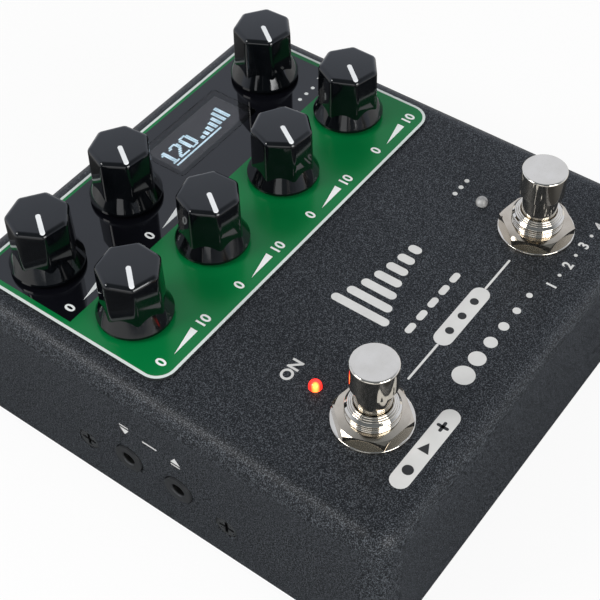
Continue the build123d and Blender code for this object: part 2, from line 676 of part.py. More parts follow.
def make_jack_nuts():
    """Hexagonal nuts on the plug sockets' noses, outside the back wall."""
    nut = hexagon(JACK_NUT_FLATS, JACK_NUT_TALL, JACK_NOSE_R + HOLE_CLEAR / 2)
    return [towards_back(Pos(0, 0, CASE_WALL) * nut, x, JACK_Z) for x in JACKS.values()]


def make_dc_inlet():
    """Power inlet: a block with a round nose level with the back wall, and a pin in its middle."""
    body = block(DC_WIDE, DC_TALL, DC_DEEP, z=-DC_DEEP)
    body += rod(DC_NOSE_R, CASE_WALL)
    floor_z = CASE_WALL - DC_BORE_DEEP
    body -= rod(DC_BORE_R, DC_BORE_DEEP + CUT, z=floor_z)
    return towards_back(body + rod(DC_PIN_R, DC_BORE_DEEP - DC_PIN_SHORT, z=floor_z), DC_X, DC_Z)


def usb_bar(grow, long, start):
    """Round-ended bar of the data port's outline, grown all round, standing on start."""
    outline = SlotOverall(USB_WIDE + 2 * grow, USB_TALL + 2 * grow)
    return Pos(0, 0, start) * extrude(outline, long)


def make_usb_port():
    """Data port: a round-ended metal shell with a closed back and a contact tongue."""
    mouth = CASE_WALL - USB_SUNK
    shell = usb_bar(0, USB_DEEP, mouth - USB_DEEP)
    shell -= usb_bar(-USB_WALL, USB_DEEP + CUT, mouth - USB_DEEP + USB_BACK)
    tongue = USB_DEEP - USB_TONGUE_SHORT
    shell += block(USB_TONGUE_WIDE, USB_TONGUE_TALL, tongue, z=mouth - USB_DEEP)
    return towards_back(shell, USB_X, USB_Z)


def make_midi_jack():
    """Small round socket: a block on the main board with a ring that stands a little out of the left wall."""
    body = block(MIDI_TALL, MIDI_WIDE, MIDI_DEEP, z=-MIDI_DEEP)
    nose = CASE_WALL + MIDI_PROUD
    body += rod(MIDI_NOSE_R, nose)
    body -= rod(MIDI_BORE_R, MIDI_DEEP - MIDI_END + nose + CUT, z=MIDI_END - MIDI_DEEP)
    mouth_r = MIDI_BORE_R + MIDI_MOUTH
    mouth = Cone(MIDI_BORE_R, mouth_r, MIDI_MOUTH, align=(Align.CENTER, Align.CENTER, Align.MAX))
    return body - Pos(0, 0, nose) * mouth


def make_all():
    """Every node of the pedal by name: one solid, or a list of like solids."""
    nodes = {
        "top_cover": make_top_cover(),
        "base_plate": make_base_plate(),
        "base_pad": make_base_pad(),
        "side_screws": make_side_screws(),
        "overlay_panel": make_overlay_panel(),
        "display_window": make_display_window(),
        "display_module": make_display_module(),
        "display_gasket": make_display_gasket(),
        "control_board": make_control_board(),
        "main_board": make_main_board(),
        "board_standoffs": make_board_standoffs(),
        "board_screws": make_board_screws(),
        "ribbon_cable": make_ribbon_cable(),
        "pots": make_pots(),
        "pot_nuts": make_pot_nuts(),
        "switch_nuts": make_switch_nuts(),
        "switch_washers": make_switch_washers(),
        "switch_locknuts": make_switch_locknuts(),
        "jack_nuts": make_jack_nuts(),
        "dc_inlet": make_dc_inlet(),
        "usb_port": make_usb_port(),
    }
    knob, bar, shaft = make_knob(), make_pointer_bar(), make_shaft()
    for name, spot in KNOB_PLACES.items():
        turn = REST_TURNS[name]
        nodes[f"knob_{name}"] = turned(knob - bar, turn, spot, KNOB_Z)
        nodes[f"pointer_{name}"] = turned(knob & bar, turn, spot, KNOB_Z)
        nodes[f"shaft_{name}"] = turned(shaft, turn, spot)
    plunger, spring, led = make_plunger(), make_spring(), make_led()
    for name, x in SWITCHES.items():
        nodes[f"switch_body_{name}"] = Pos(x, SWITCH_Y) * make_switch_body(KEYWAY_TURNS[name])
        nodes[f"plunger_{name}"] = Pos(x, SWITCH_Y) * plunger
        nodes[f"spring_{name}"] = Pos(x, SWITCH_Y) * spring
        nodes[f"led_{name}"] = Pos(x, LED_Y) * led
    jack, midi_jack = make_jack(), make_midi_jack()
    for name, x in JACKS.items():
        nodes[f"jack_{name}"] = towards_back(jack, x, JACK_Z)
    for name, y in MIDIS.items():
        nodes[f"{name}_jack"] = towards_side(midi_jack, -1, y, MIDI_Z)
    return nodes


def write_parts():
    """Write each node to its own file."""
    os.makedirs("parts", exist_ok=True)
    for name, solid in make_all().items():
        whole = Compound(children=solid) if isinstance(solid, list) else solid
        export_step(whole, os.path.join("parts", f"{name}.step"))


write_parts()
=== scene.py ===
"""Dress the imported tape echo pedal: finishes, prints, lit display, lamps, studio and camera."""

import json
import logging
import math
from collections.abc import Sequence
from dataclasses import dataclass, field
from enum import Enum

import bmesh
import bpy
from mathutils import Matrix, Quaternion, Vector

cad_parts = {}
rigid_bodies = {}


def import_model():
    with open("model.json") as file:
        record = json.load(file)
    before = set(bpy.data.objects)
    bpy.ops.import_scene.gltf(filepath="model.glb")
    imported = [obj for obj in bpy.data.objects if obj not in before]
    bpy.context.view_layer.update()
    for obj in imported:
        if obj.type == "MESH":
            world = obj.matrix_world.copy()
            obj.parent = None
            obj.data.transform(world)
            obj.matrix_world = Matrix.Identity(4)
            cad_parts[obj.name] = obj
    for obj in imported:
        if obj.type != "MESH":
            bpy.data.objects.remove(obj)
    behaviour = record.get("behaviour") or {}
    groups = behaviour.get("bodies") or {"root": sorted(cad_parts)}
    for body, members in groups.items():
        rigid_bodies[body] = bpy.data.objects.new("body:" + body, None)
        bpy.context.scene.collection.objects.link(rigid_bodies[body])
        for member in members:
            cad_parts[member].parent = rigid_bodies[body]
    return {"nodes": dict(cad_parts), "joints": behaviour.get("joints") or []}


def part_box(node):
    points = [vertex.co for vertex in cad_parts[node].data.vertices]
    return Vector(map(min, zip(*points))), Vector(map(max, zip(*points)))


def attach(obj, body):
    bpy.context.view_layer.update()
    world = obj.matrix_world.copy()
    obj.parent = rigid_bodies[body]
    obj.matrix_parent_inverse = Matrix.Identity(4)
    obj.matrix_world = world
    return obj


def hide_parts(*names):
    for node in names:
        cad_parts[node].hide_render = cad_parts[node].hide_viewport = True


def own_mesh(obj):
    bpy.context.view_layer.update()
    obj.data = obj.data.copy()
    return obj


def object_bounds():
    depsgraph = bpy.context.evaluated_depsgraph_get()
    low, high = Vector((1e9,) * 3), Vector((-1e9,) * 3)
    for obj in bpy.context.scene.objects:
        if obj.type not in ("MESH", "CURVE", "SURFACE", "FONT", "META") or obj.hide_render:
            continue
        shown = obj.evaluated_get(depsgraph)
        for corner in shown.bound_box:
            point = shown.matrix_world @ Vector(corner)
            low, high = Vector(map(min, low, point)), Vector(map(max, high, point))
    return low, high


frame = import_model()
CAD_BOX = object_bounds()

log = logging.getLogger("pedal")

MM = 0.001
CASE_BODY = "case"
# Thickness of every print, in millimetres.
INK_MM = 0.03
# Values that most of a noise lies between, and its upper part.
NOISE_MOST = (0.3, 0.7)
NOISE_UPPER = (0.35, 0.75)
# Socket types of the geometry trees' inputs.
NUMBER = "NodeSocketFloat"
WHOLE_NUMBER = "NodeSocketInt"

Colour = tuple[float, float, float]
Place = tuple[float, float, float]
Spot = tuple[float, float]
Span = tuple[float, float]
Socket = bpy.types.NodeSocket
Node = bpy.types.Node


class Slot(Enum):
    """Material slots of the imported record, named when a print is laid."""

    PALE_INK = "pointer_white"
    DARK_INK = "knob_black"
    SCREEN = "screen_glass"
    SOCKET = "socket_black"
    SPRING = "spring_steel"
    PLATE = "switch_chrome"


class Face(Enum):
    """Faces that carry prints."""

    TOP = "top"
    PANEL = "panel"
    LEFT = "left"
    BACK = "back"


class Pull(Enum):
    """Which way an arrow beside a socket points."""

    IN = -1
    OUT = 1


def rgba(colour: Colour) -> tuple[float, float, float, float]:
    """Opaque form of a colour."""
    return (*colour, 1.0)


class NodeDesk:
    """Adds and joins nodes in one node tree."""

    def __init__(self, tree: bpy.types.NodeTree) -> None:
        """Work on a tree."""
        self.tree = tree

    def add(self, kind: str, settings: dict[str, object] | None = None, **sockets: object) -> Node:
        """Add a node.

        Args:
            kind: Blender's name of the node type.
            settings: properties of the node itself.
            sockets: socket names with underscores for spaces, with their values or outputs.

        Returns:
            The new node.
        """
        node = self.tree.nodes.new(kind)
        for name, value in (settings or {}).items():
            setattr(node, name, value)
        for name, value in sockets.items():
            self.feed(node.inputs[name.replace("_", " ")], value)
        return node

    def feed(self, socket: Socket, value: object) -> None:
        """Link an output to a socket, or set the socket's own value.

        Args:
            socket: the input.
            value: an output, or a plain value.
        """
        if isinstance(value, bpy.types.NodeSocket):
            self.tree.links.new(value, socket)
        else:
            socket.default_value = value

    def sum(self, operation: str, *values: object) -> Socket:
        """One step of arithmetic.

        Args:
            operation: Blender's name of the operation.
            values: outputs or plain numbers.

        Returns:
            The result.
        """
        node = self.add("ShaderNodeMath", {"operation": operation})
        for socket, value in zip(node.inputs, values):
            self.feed(socket, value)
        return node.outputs[0]


class ShaderDesk(NodeDesk):
    """Builds one shader tree."""

    def __init__(self, tree: bpy.types.NodeTree) -> None:
        """Work on a tree that is emptied first."""
        super().__init__(tree)
        tree.nodes.clear()

    def position(self) -> Socket:
        """Object coordinates, in metres."""
        return self.add("ShaderNodeTexCoord").outputs["Object"]

    def axes(self, vector: Socket) -> list[Socket]:
        """The three parts of a vector."""
        return list(self.add("ShaderNodeSeparateXYZ", Vector=vector).outputs)

    def away(self, vector: Socket, middle: Spot) -> Socket:
        """Distance in plan from an upright axis.

        Args:
            vector: coordinates in metres.
            middle: where the axis stands.

        Returns:
            The distance in metres.
        """
        squares = []
        for value, centre in zip(self.axes(vector), middle):
            squares.append(self.sum("POWER", self.sum("SUBTRACT", value, centre), 2.0))
        return self.sum("SQRT", self.sum("ADD", *squares))

    def stretch(self, vector: Socket, scale: Sequence[float]) -> Socket:
        """Scale a pattern's coordinates along each axis."""
        return self.add("ShaderNodeMapping", Vector=vector, Scale=scale).outputs[0]

    def noise(self, vector: Socket, size: float, detail: float = 2.0, rough: float = 0.5) -> Socket:
        """Cloudy noise from 0 to 1, with the width of one cloud in metres and its finer octaves."""
        parts = {"Vector": vector, "Scale": 1.0 / size, "Detail": detail, "Roughness": rough}
        return self.add("ShaderNodeTexNoise", **parts).outputs[0]

    def span(
        self, value: Socket, low: float, high: float, to_low: float = 0.0, to_high: float = 1.0
    ) -> Socket:
        """Map a range of values onto another, clamped.

        Args:
            value: what is mapped.
            low: start of its range.
            high: end of its range.
            to_low: what the start becomes.
            to_high: what the end becomes.

        Returns:
            The mapped value.
        """
        node = self.add("ShaderNodeMapRange")
        for socket, part in zip(node.inputs, (value, low, high, to_low, to_high)):
            self.feed(socket, part)
        return node.outputs[0]

    def blend(self, factor: Socket, first: object, second: object) -> Socket:
        """Mix two colours by a factor that varies over the surface.

        Args:
            factor: share of the second.
            first: colour at 0.
            second: colour at 1.

        Returns:
            The mixed colour.
        """
        node = self.add("ShaderNodeMix", {"data_type": "RGBA"})
        colours = [socket for socket in node.inputs if socket.type == "RGBA"]
        for socket, value in zip((node.inputs[0], *colours), (factor, first, second)):
            self.feed(socket, value)
        return next(socket for socket in node.outputs if socket.type == "RGBA")

    def bump(self, height: Socket, strength: float, distance: float) -> Socket:
        """Normal of a fine relief of that depth, in metres."""
        return self.add("ShaderNodeBump", Height=height, Strength=strength, Distance=distance).outputs[0]

    def dome(self, vector: Socket, middle: Spot, radius: float) -> Socket:
        """Normal of a gentle dome of that radius round an upright axis.

        Args:
            vector: coordinates in metres.
            middle: where the axis stands.
            radius: the dome's radius in metres.

        Returns:
            The normal.
        """
        away = self.away(vector, middle)
        fall = self.sum("MULTIPLY", self.sum("MULTIPLY", away, away), -0.5 / radius)
        return self.bump(fall, strength=1.0, distance=1.0)

    def merge(self, factor: Socket, first: Socket, second: Socket) -> Socket:
        """Mix two shaders.

        Args:
            factor: share of the second.
            first: shader at 0.
            second: shader at 1.

        Returns:
            The mixed shader.
        """
        node = self.add("ShaderNodeMixShader")
        for socket, value in zip(node.inputs, (factor, first, second)):
            self.feed(socket, value)
        return node.outputs[0]

    def surface(self, **sockets: object) -> None:
        """Finish the tree with a principled surface, its sockets named with underscores for spaces."""
        self.close(self.add("ShaderNodeBsdfPrincipled", **sockets).outputs[0])

    def close(self, shader: Socket) -> None:
        """Join a shader to the material's output."""
        self.add("ShaderNodeOutputMaterial", Surface=shader)


@dataclass(frozen=True)
class Finish:
    """A procedural material, made once and shared by every piece that wears it."""

    name: str

    def material(self) -> bpy.types.Material:
        """The Blender material, built at its first use.

        Returns:
            The material.
        """
        made = bpy.data.materials.get(self.name)
        if made is None:
            made = bpy.data.materials.new(self.name)
            made.use_nodes = True
            self.wire(ShaderDesk(made.node_tree))
        return made

    def wire(self, desk: ShaderDesk) -> None:
        """Build the node tree."""
        raise NotImplementedError


@dataclass(frozen=True)
class PowderCoat(Finish):
    """Sand-textured baked coat: a dark ground with paler grains; walls get clumpier grains and more of
    them, the extra share being painted light that lightens the side faces.
    """

    ground: Colour
    grain: Colour
    top: float
    grain_size: float = 0.25 * MM
    grain_tall: float = 0.06 * MM
    grain_span: Span = (0.35, 0.7)
    gloss: Span = (0.50, 0.32)
    specular: float = 0.22
    clump_size: float = 0.6 * MM
    clump_share: Span = (0.06, 0.36)
    cover_span: Span = (0.50, 0.645)
    # Extra share of pale grains on the walls: painted light that lightens the side faces.
    wall_cover: float = 0.034
    fold: float = 6.0 * MM

    def wire(self, desk: ShaderDesk) -> None:
        """Build the node tree.

        Args:
            desk: desk of the material's tree.
        """
        spot = desk.position()
        sand = desk.noise(spot, self.grain_size, detail=2.5, rough=0.6)
        clump = desk.noise(spot, self.clump_size)
        wall = desk.span(desk.axes(spot)[2], self.top, self.top - self.fold)
        weight = desk.span(wall, 0.0, 1.0, *self.clump_share)
        clumped = desk.sum("MULTIPLY_ADD", desk.sum("SUBTRACT", clump, 0.5), weight, sand)
        # Walls get more pale grains here: painted light that lightens the side faces.
        grain_and_wall_light = desk.sum("MULTIPLY_ADD", wall, self.wall_cover, clumped)
        share = desk.span(grain_and_wall_light, *self.cover_span)
        desk.surface(
            Base_Color=desk.blend(share, rgba(self.ground), rgba(self.grain)),
            Roughness=desk.span(sand, *self.grain_span, *self.gloss),
            Specular_IOR_Level=self.specular,
            Normal=desk.bump(sand, strength=0.5, distance=self.grain_tall),
        )


@dataclass(frozen=True)
class Moulding(Finish):
    """Moulded plastic, rubber or ink: faint colour drift, patchy gloss and a fine surface grain."""

    colour: Colour
    drift: Colour
    gloss: Span
    grain_size: float = 0.35 * MM
    grain_tall: float = 0.01 * MM
    patch_size: float = 5.0 * MM

    def wire(self, desk: ShaderDesk) -> None:
        """Build the node tree.

        Args:
            desk: desk of the material's tree.
        """
        spot = desk.position()
        patch = desk.noise(spot, self.patch_size, detail=3.0)
        grain = desk.noise(spot, self.grain_size)
        desk.surface(
            Base_Color=desk.blend(desk.span(patch, *NOISE_MOST), rgba(self.colour), rgba(self.drift)),
            Roughness=desk.span(patch, *NOISE_MOST, *self.gloss),
            Normal=desk.bump(grain, strength=0.4, distance=self.grain_tall),
        )


@dataclass(frozen=True)
class Hollowed(Finish):
    """Black plastic with painted shade inside the case, so that bores look deep."""

    outer: Colour
    # Colour of the painted shade inside the case walls.
    inner: Colour
    walls: Spot
    fade: float = 0.15 * MM
    patch_size: float = 3.0 * MM
    gloss: Span = (0.34, 0.5)

    def wire(self, desk: ShaderDesk) -> None:
        """Build the node tree.

        Args:
            desk: desk of the material's tree.
        """
        spot = desk.position()
        inside_shade_masks = []
        for value, wall in zip(desk.axes(spot), self.walls):
            inside_shade_masks.append(desk.span(desk.sum("ABSOLUTE", value), wall, wall - self.fade))
        patch = desk.noise(spot, self.patch_size, detail=3.0)
        desk.surface(
            # Inside the case walls the colour turns to the painted shade.
            Base_Color=desk.blend(desk.sum("MULTIPLY", *inside_shade_masks), rgba(self.outer), rgba(self.inner)),
            Roughness=desk.span(patch, *NOISE_MOST, *self.gloss),
        )


@dataclass(frozen=True)
class ScrewHeads(Finish):
    """Blackened screw heads in the side walls, with painted shade in their sunk crosses and a painted
    shadow ring round their rims.
    """

    outer: Colour
    # Colour of the painted shade and shadow.
    inner: Colour
    face: float
    head_r: float
    high: Vector
    # Width of the painted shadow ring round each head.
    rim: float = 0.5 * MM
    deep: float = 0.3 * MM
    patch_size: float = 0.8 * MM
    gloss: Span = (0.22, 0.4)

    def wire(self, desk: ShaderDesk) -> None:
        """Build the node tree. The heads lie alike on both sides of the middle planes.

        Args:
            desk: desk of the material's tree.
        """
        spot = desk.position()
        x, y, z = desk.axes(spot)
        along = desk.sum("SUBTRACT", desk.sum("ABSOLUTE", y), self.high.y - self.head_r)
        above = desk.sum("SUBTRACT", z, self.high.z - self.head_r)
        squares = [desk.sum("MULTIPLY", value, value) for value in (along, above)]
        away = desk.sum("SQRT", desk.sum("ADD", *squares))
        # Painted shadow ring round each head, and painted shade in the sunk crosses.
        edge = desk.span(away, self.head_r - self.rim, self.head_r)
        sunk_shade = desk.span(desk.sum("ABSOLUTE", x), self.face, self.face - self.deep)
        share = desk.sum("MAXIMUM", edge, sunk_shade)
        desk.surface(
            Base_Color=desk.blend(share, rgba(self.outer), rgba(self.inner)),
            Roughness=desk.span(desk.noise(spot, self.patch_size), *NOISE_MOST, *self.gloss),
        )


@dataclass(frozen=True)
class DomedGloss(Finish):
    """Glossy black plastic whose top looks slightly domed round an upright axis."""

    colour: Colour
    drift: Colour
    middle: Spot
    dome_r: float = 75.0 * MM
    patch_size: float = 4.0 * MM
    gloss: Span = (0.05, 0.10)

    def wire(self, desk: ShaderDesk) -> None:
        """Build the node tree.

        Args:
            desk: desk of the material's tree.
        """
        spot = desk.position()
        patch = desk.span(desk.noise(spot, self.patch_size, detail=3.0), *NOISE_MOST)
        desk.surface(
            Base_Color=desk.blend(patch, rgba(self.colour), rgba(self.drift)),
            Roughness=desk.span(patch, 0.0, 1.0, *self.gloss),
            Normal=desk.dome(spot, self.middle, self.dome_r),
        )


@dataclass(frozen=True)
class Plate(Finish):
    """Bare or plated metal: faint tarnish, with fine polishing marks round the upright axis."""

    colour: Colour
    tarnish: Colour
    gloss: Span
    mark_size: float = 0.5 * MM
    mark_deep: float = 0.002 * MM
    mark_stretch: Place = (1.0, 1.0, 8.0)
    patch_size: float = 4.0 * MM

    def wire(self, desk: ShaderDesk) -> None:
        """Build the node tree.

        Args:
            desk: desk of the material's tree.
        """
        spot = desk.position()
        patch = desk.noise(spot, self.patch_size, detail=3.0)
        drawn = desk.stretch(spot, self.mark_stretch)
        marks = desk.noise(drawn, self.mark_size, detail=3.0, rough=0.6)
        desk.surface(
            Base_Color=desk.blend(desk.span(patch, *NOISE_UPPER), rgba(self.colour), rgba(self.tarnish)),
            Metallic=1.0,
            Roughness=desk.span(marks, *NOISE_MOST, *self.gloss),
            Normal=self.relief(desk, marks),
        )

    def relief(self, desk: ShaderDesk, marks: Socket) -> Socket:
        """Bumps of the polishing marks."""
        return desk.bump(marks, strength=0.25, distance=self.mark_deep)


@dataclass(frozen=True)
class Crowned(Plate):
    """Plated nuts with crowned tops, which lie alike on both sides of the middle plane."""

    middle: Spot = (0.0, 0.0)
    crown_r: float = 34.0 * MM

    def relief(self, desk: ShaderDesk, marks: Socket) -> Socket:
        """Crown of the nuts, in place of polishing marks."""
        fold = desk.add("ShaderNodeVectorMath", {"operation": "ABSOLUTE"}, Vector=desk.position())
        return desk.dome(fold.outputs[0], self.middle, self.crown_r)


@dataclass(frozen=True)
class PanelGloss(Finish):
    """Printed glossy acrylic: a coloured field, a black zone at the back, a pale rim line, and painted
    shade on its side walls.
    """

    field_colour: Colour
    field_drift: Colour
    zone_colour: Colour
    line_colour: Colour
    # Painted shade on the panel's side walls, below a level just under its top.
    wall_colour: Colour
    wall_z: float
    middle: Spot
    half: Spot
    corner: float
    line_wide: float
    zone_low: Spot
    zone_high: Spot
    edge: float = 0.05 * MM
    shine: Span = (0.25, 0.5)
    haze: Span = (0.22, 0.025)
    cloud_size: float = 25.0 * MM
    cloud_deep: float = 0.2 * MM
    smudge_size: float = 6.0 * MM
    smudge_haze: Span = (0.0, 0.03)

    def inside(self, desk: ShaderDesk, value: Socket, low: float, high: float) -> Socket:
        """Mask of the band between two places along one axis.

        Args:
            desk: desk of the material's tree.
            value: place along the axis.
            low: start of the band.
            high: end of the band.

        Returns:
            1 inside the band and 0 outside it.
        """
        over = desk.span(value, low - self.edge, low + self.edge)
        under = desk.span(value, high + self.edge, high - self.edge)
        return desk.sum("MULTIPLY", over, under)

    def depth(self, desk: ShaderDesk, x: Socket, y: Socket) -> Socket:
        """Signed distance from the rounded rim, below zero inside it.

        Args:
            desk: desk of the material's tree.
            x: place across the panel.
            y: place along it.

        Returns:
            The distance in metres.
        """
        over = []
        for value, middle, half in zip((x, y), self.middle, self.half):
            away = desk.sum("ABSOLUTE", desk.sum("SUBTRACT", value, middle))
            over.append(desk.sum("SUBTRACT", away, half - self.corner))
        squares = [desk.sum("POWER", desk.sum("MAXIMUM", part, 0.0), 2.0) for part in over]
        outer = desk.sum("SQRT", desk.sum("ADD", *squares))
        inner = desk.sum("MINIMUM", desk.sum("MAXIMUM", *over), 0.0)
        return desk.sum("SUBTRACT", desk.sum("ADD", outer, inner), self.corner)

    def wire(self, desk: ShaderDesk) -> None:
        """Build the node tree.

        Args:
            desk: desk of the material's tree.
        """
        spot = desk.position()
        x, y, z = desk.axes(spot)
        cloud = desk.noise(spot, self.cloud_size)
        smudge = desk.noise(spot, self.smudge_size, detail=3.0)
        across = self.inside(desk, x, self.zone_low[0], self.zone_high[0])
        along = self.inside(desk, y, self.zone_low[1], self.zone_high[1])
        zone = desk.sum("MULTIPLY", across, along)
        depth = self.depth(desk, x, y)
        rim = desk.span(depth, -self.line_wide - self.edge, -self.line_wide + self.edge)
        drift = desk.span(cloud, *NOISE_MOST)
        colour = desk.blend(drift, rgba(self.field_colour), rgba(self.field_drift))
        colour = desk.blend(zone, colour, rgba(self.zone_colour))
        colour = desk.blend(rim, colour, rgba(self.line_colour))
        # Below that level the side walls take the painted shade.
        wall = desk.span(z, self.wall_z, self.wall_z - self.edge)
        smear = desk.span(smudge, *NOISE_UPPER, *self.smudge_haze)
        desk.surface(
            Base_Color=desk.blend(wall, colour, rgba(self.wall_colour)),
            Roughness=desk.sum("ADD", desk.span(zone, 0.0, 1.0, *self.haze), smear),
            Specular_IOR_Level=desk.span(zone, 0.0, 1.0, *self.shine),
            Normal=desk.bump(cloud, strength=0.08, distance=self.cloud_deep),
        )


@dataclass(frozen=True)
class Smoked(Finish):
    """Smoked clear acrylic with faint smudges."""

    tint: Colour
    smudge: Colour
    smudge_size: float = 6.0 * MM
    smudge_haze: Span = (0.0, 0.03)

    def wire(self, desk: ShaderDesk) -> None:
        """Build the node tree.

        Args:
            desk: desk of the material's tree.
        """
        patch = desk.noise(desk.position(), self.smudge_size, detail=3.0)
        share = desk.span(patch, *NOISE_UPPER)
        desk.surface(
            Base_Color=desk.blend(share, rgba(self.tint), rgba(self.smudge)),
            Roughness=desk.span(patch, *NOISE_UPPER, *self.smudge_haze),
            Transmission_Weight=1.0,
            IOR=1.49,
        )


@dataclass(frozen=True)
class Glow(Finish):
    """Light of its own that falls off from a hot middle, under a clear lens.

    The middle is an upright axis through one place of the plan.
    """

    hot: Colour
    rim: Colour
    middle: Spot
    hot_r: float
    rim_r: float
    lens: Colour
    lens_rim: Colour

    def wire(self, desk: ShaderDesk) -> None:
        """Build the node tree.

        Args:
            desk: desk of the material's tree.
        """
        share = desk.span(desk.away(desk.position(), self.middle), self.hot_r, self.rim_r)
        desk.surface(
            Base_Color=desk.blend(share, rgba(self.lens), rgba(self.lens_rim)),
            Emission_Color=desk.blend(share, rgba(self.hot), rgba(self.rim)),
            Emission_Strength=1.0,
            Roughness=0.15,
        )


@dataclass(frozen=True)
class Screen(Finish):
    """Dark display glass with a faint grid of unlit dots."""

    ground: Colour
    dots: Colour
    pitch: float

    def wire(self, desk: ShaderDesk) -> None:
        """Build the node tree.

        Args:
            desk: desk of the material's tree.
        """
        x, y, _ = desk.axes(desk.position())
        waves = [desk.sum("PINGPONG", value, self.pitch / 2) for value in (x, y)]
        share = desk.span(desk.sum("MINIMUM", *waves), 0.0, self.pitch / 6)
        desk.surface(Base_Color=desk.blend(share, rgba(self.ground), rgba(self.dots)), Roughness=0.12)


@dataclass(frozen=True)
class Lit(Finish):
    """Lit display dots, a little uneven from place to place."""

    bright: Colour
    dim: Colour
    strength: float
    patch_size: float = 2.0 * MM
    patch_span: Span = (0.35, 0.65)

    def wire(self, desk: ShaderDesk) -> None:
        """Build the node tree.

        Args:
            desk: desk of the material's tree.
        """
        patch = desk.noise(desk.position(), self.patch_size, detail=1.0)
        light = desk.blend(desk.span(patch, *self.patch_span), rgba(self.bright), rgba(self.dim))
        desk.surface(
            Base_Color=light,
            Emission_Color=light,
            Emission_Strength=self.strength,
            Roughness=0.4,
        )


PANEL_LOW, PANEL_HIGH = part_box("overlay_panel")
COVER_LOW, COVER_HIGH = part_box("top_cover")
SCREWS_LOW, SCREWS_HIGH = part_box("side_screws")
POWDER = PowderCoat(
    "finish_powder_coat", ground=(0.0035, 0.0046, 0.0062), grain=(0.088, 0.097, 0.109), top=COVER_HIGH.z
)
BASE_COAT = PowderCoat(
    "finish_base_coat",
    ground=(0.008, 0.008, 0.009),
    grain=(0.020, 0.020, 0.022),
    top=COVER_HIGH.z,
    grain_tall=0.02 * MM,
)
RUBBER = Moulding(
    "finish_rubber",
    (0.016, 0.016, 0.016),
    (0.026, 0.026, 0.026),
    (0.75, 0.9),
    grain_size=0.5 * MM,
    grain_tall=0.05 * MM,
)
FOAM = Moulding(
    "finish_foam",
    (0.02, 0.02, 0.02),
    (0.04, 0.04, 0.04),
    (0.85, 0.95),
    grain_size=0.3 * MM,
    grain_tall=0.1 * MM,
)
# Screw heads with painted shade in their crosses and a painted shadow round their rims.
SCREW_BLACK = ScrewHeads(
    "finish_black_oxide_shaded",
    outer=(0.042, 0.045, 0.047),
    inner=(0.002, 0.002, 0.002),
    face=SCREWS_HIGH.x,
    head_r=(SCREWS_HIGH.z - SCREWS_LOW.z) / 2,
    high=SCREWS_HIGH,
)
# Socket plastic with painted shade inside the case, in the bores and on ring sides near the walls.
SOCKET_BLACK = Hollowed(
    "finish_socket_plastic_bore_shade",
    outer=(0.030, 0.032, 0.034),
    inner=(0.003, 0.003, 0.003),
    walls=(COVER_HIGH.x + 0.1 * MM, COVER_HIGH.y - 0.4 * MM),
)
POINTER_WHITE = Moulding("finish_pointer_white", (0.80, 0.82, 0.83), (0.72, 0.74, 0.76), (0.35, 0.5))
NICKEL = Plate("finish_nickel", (0.74, 0.69, 0.61), (0.67, 0.62, 0.54), (0.03, 0.08))
NUT_NICKEL = Plate("finish_nut_nickel", (0.70, 0.63, 0.53), (0.58, 0.51, 0.42), (0.06, 0.14))
ZINC = Plate("finish_zinc", (0.56, 0.57, 0.59), (0.46, 0.47, 0.49), (0.25, 0.4))
ALLOY = Plate("finish_turned_alloy", (0.62, 0.62, 0.63), (0.52, 0.52, 0.54), (0.2, 0.35))
BRASS = Plate("finish_brass", (0.68, 0.48, 0.20), (0.50, 0.34, 0.14), (0.2, 0.35))
BOARD_MASK = Moulding("finish_board_mask", (0.008, 0.075, 0.03), (0.012, 0.11, 0.045), (0.25, 0.4))
RIBBON = Moulding("finish_ribbon", (0.32, 0.32, 0.33), (0.42, 0.42, 0.43), (0.45, 0.6))
SCREEN_GLASS = Screen("finish_screen_glass", (0.020, 0.017, 0.020), (0.026, 0.022, 0.026), 0.56 * MM)
SMOKED = Smoked("finish_smoked_window", (0.42, 0.42, 0.45), (0.36, 0.36, 0.39))
LIT_DOTS = Lit("finish_lit_dots", (0.62, 0.80, 0.86), (0.42, 0.60, 0.66), 2.6)
PANEL_GLOSS = PanelGloss(
    "finish_panel_gloss",
    field_colour=(0.0008, 0.152, 0.037),
    field_drift=(0.0012, 0.168, 0.042),
    zone_colour=(0.0035, 0.0037, 0.0055),
    line_colour=(0.66, 0.72, 0.70),
    # Painted shade on the panel's side walls.
    wall_colour=(0.030, 0.034, 0.034),
    wall_z=PANEL_HIGH.z - 0.02 * MM,
    middle=((PANEL_LOW.x + PANEL_HIGH.x) / 2, (PANEL_LOW.y + PANEL_HIGH.y) / 2),
    half=((PANEL_HIGH.x - PANEL_LOW.x) / 2, (PANEL_HIGH.y - PANEL_LOW.y) / 2),
    corner=5.0 * MM,
    line_wide=0.7 * MM,
    zone_low=(PANEL_LOW.x + 1.9 * MM, PANEL_LOW.y + 28.0 * MM),
    zone_high=(PANEL_HIGH.x - 1.9 * MM, PANEL_HIGH.y - 1.5 * MM),
)
WHITE_INK = Moulding("finish_white_ink", (0.80, 0.84, 0.83), (0.86, 0.88, 0.87), (0.2, 0.3))
PALE_INK = Moulding(
    "finish_pale_ink",
    (0.58, 0.58, 0.57),
    (0.64, 0.64, 0.63),
    (0.5, 0.6),
    grain_size=0.32 * MM,
    grain_tall=0.03 * MM,
)
DARK_INK = Moulding(
    "finish_dark_ink",
    (0.010, 0.011, 0.012),
    (0.016, 0.017, 0.018),
    (0.5, 0.6),
    grain_size=0.42 * MM,
    grain_tall=0.02 * MM,
)
LAMP_CLEAR = Moulding(
    "finish_lamp_clear", (0.18, 0.18, 0.18), (0.55, 0.55, 0.54), (0.03, 0.08), patch_size=1.6 * MM
)


def cad(node: str) -> bpy.types.Object:
    """The object of a CAD node."""
    return frame["nodes"][node]


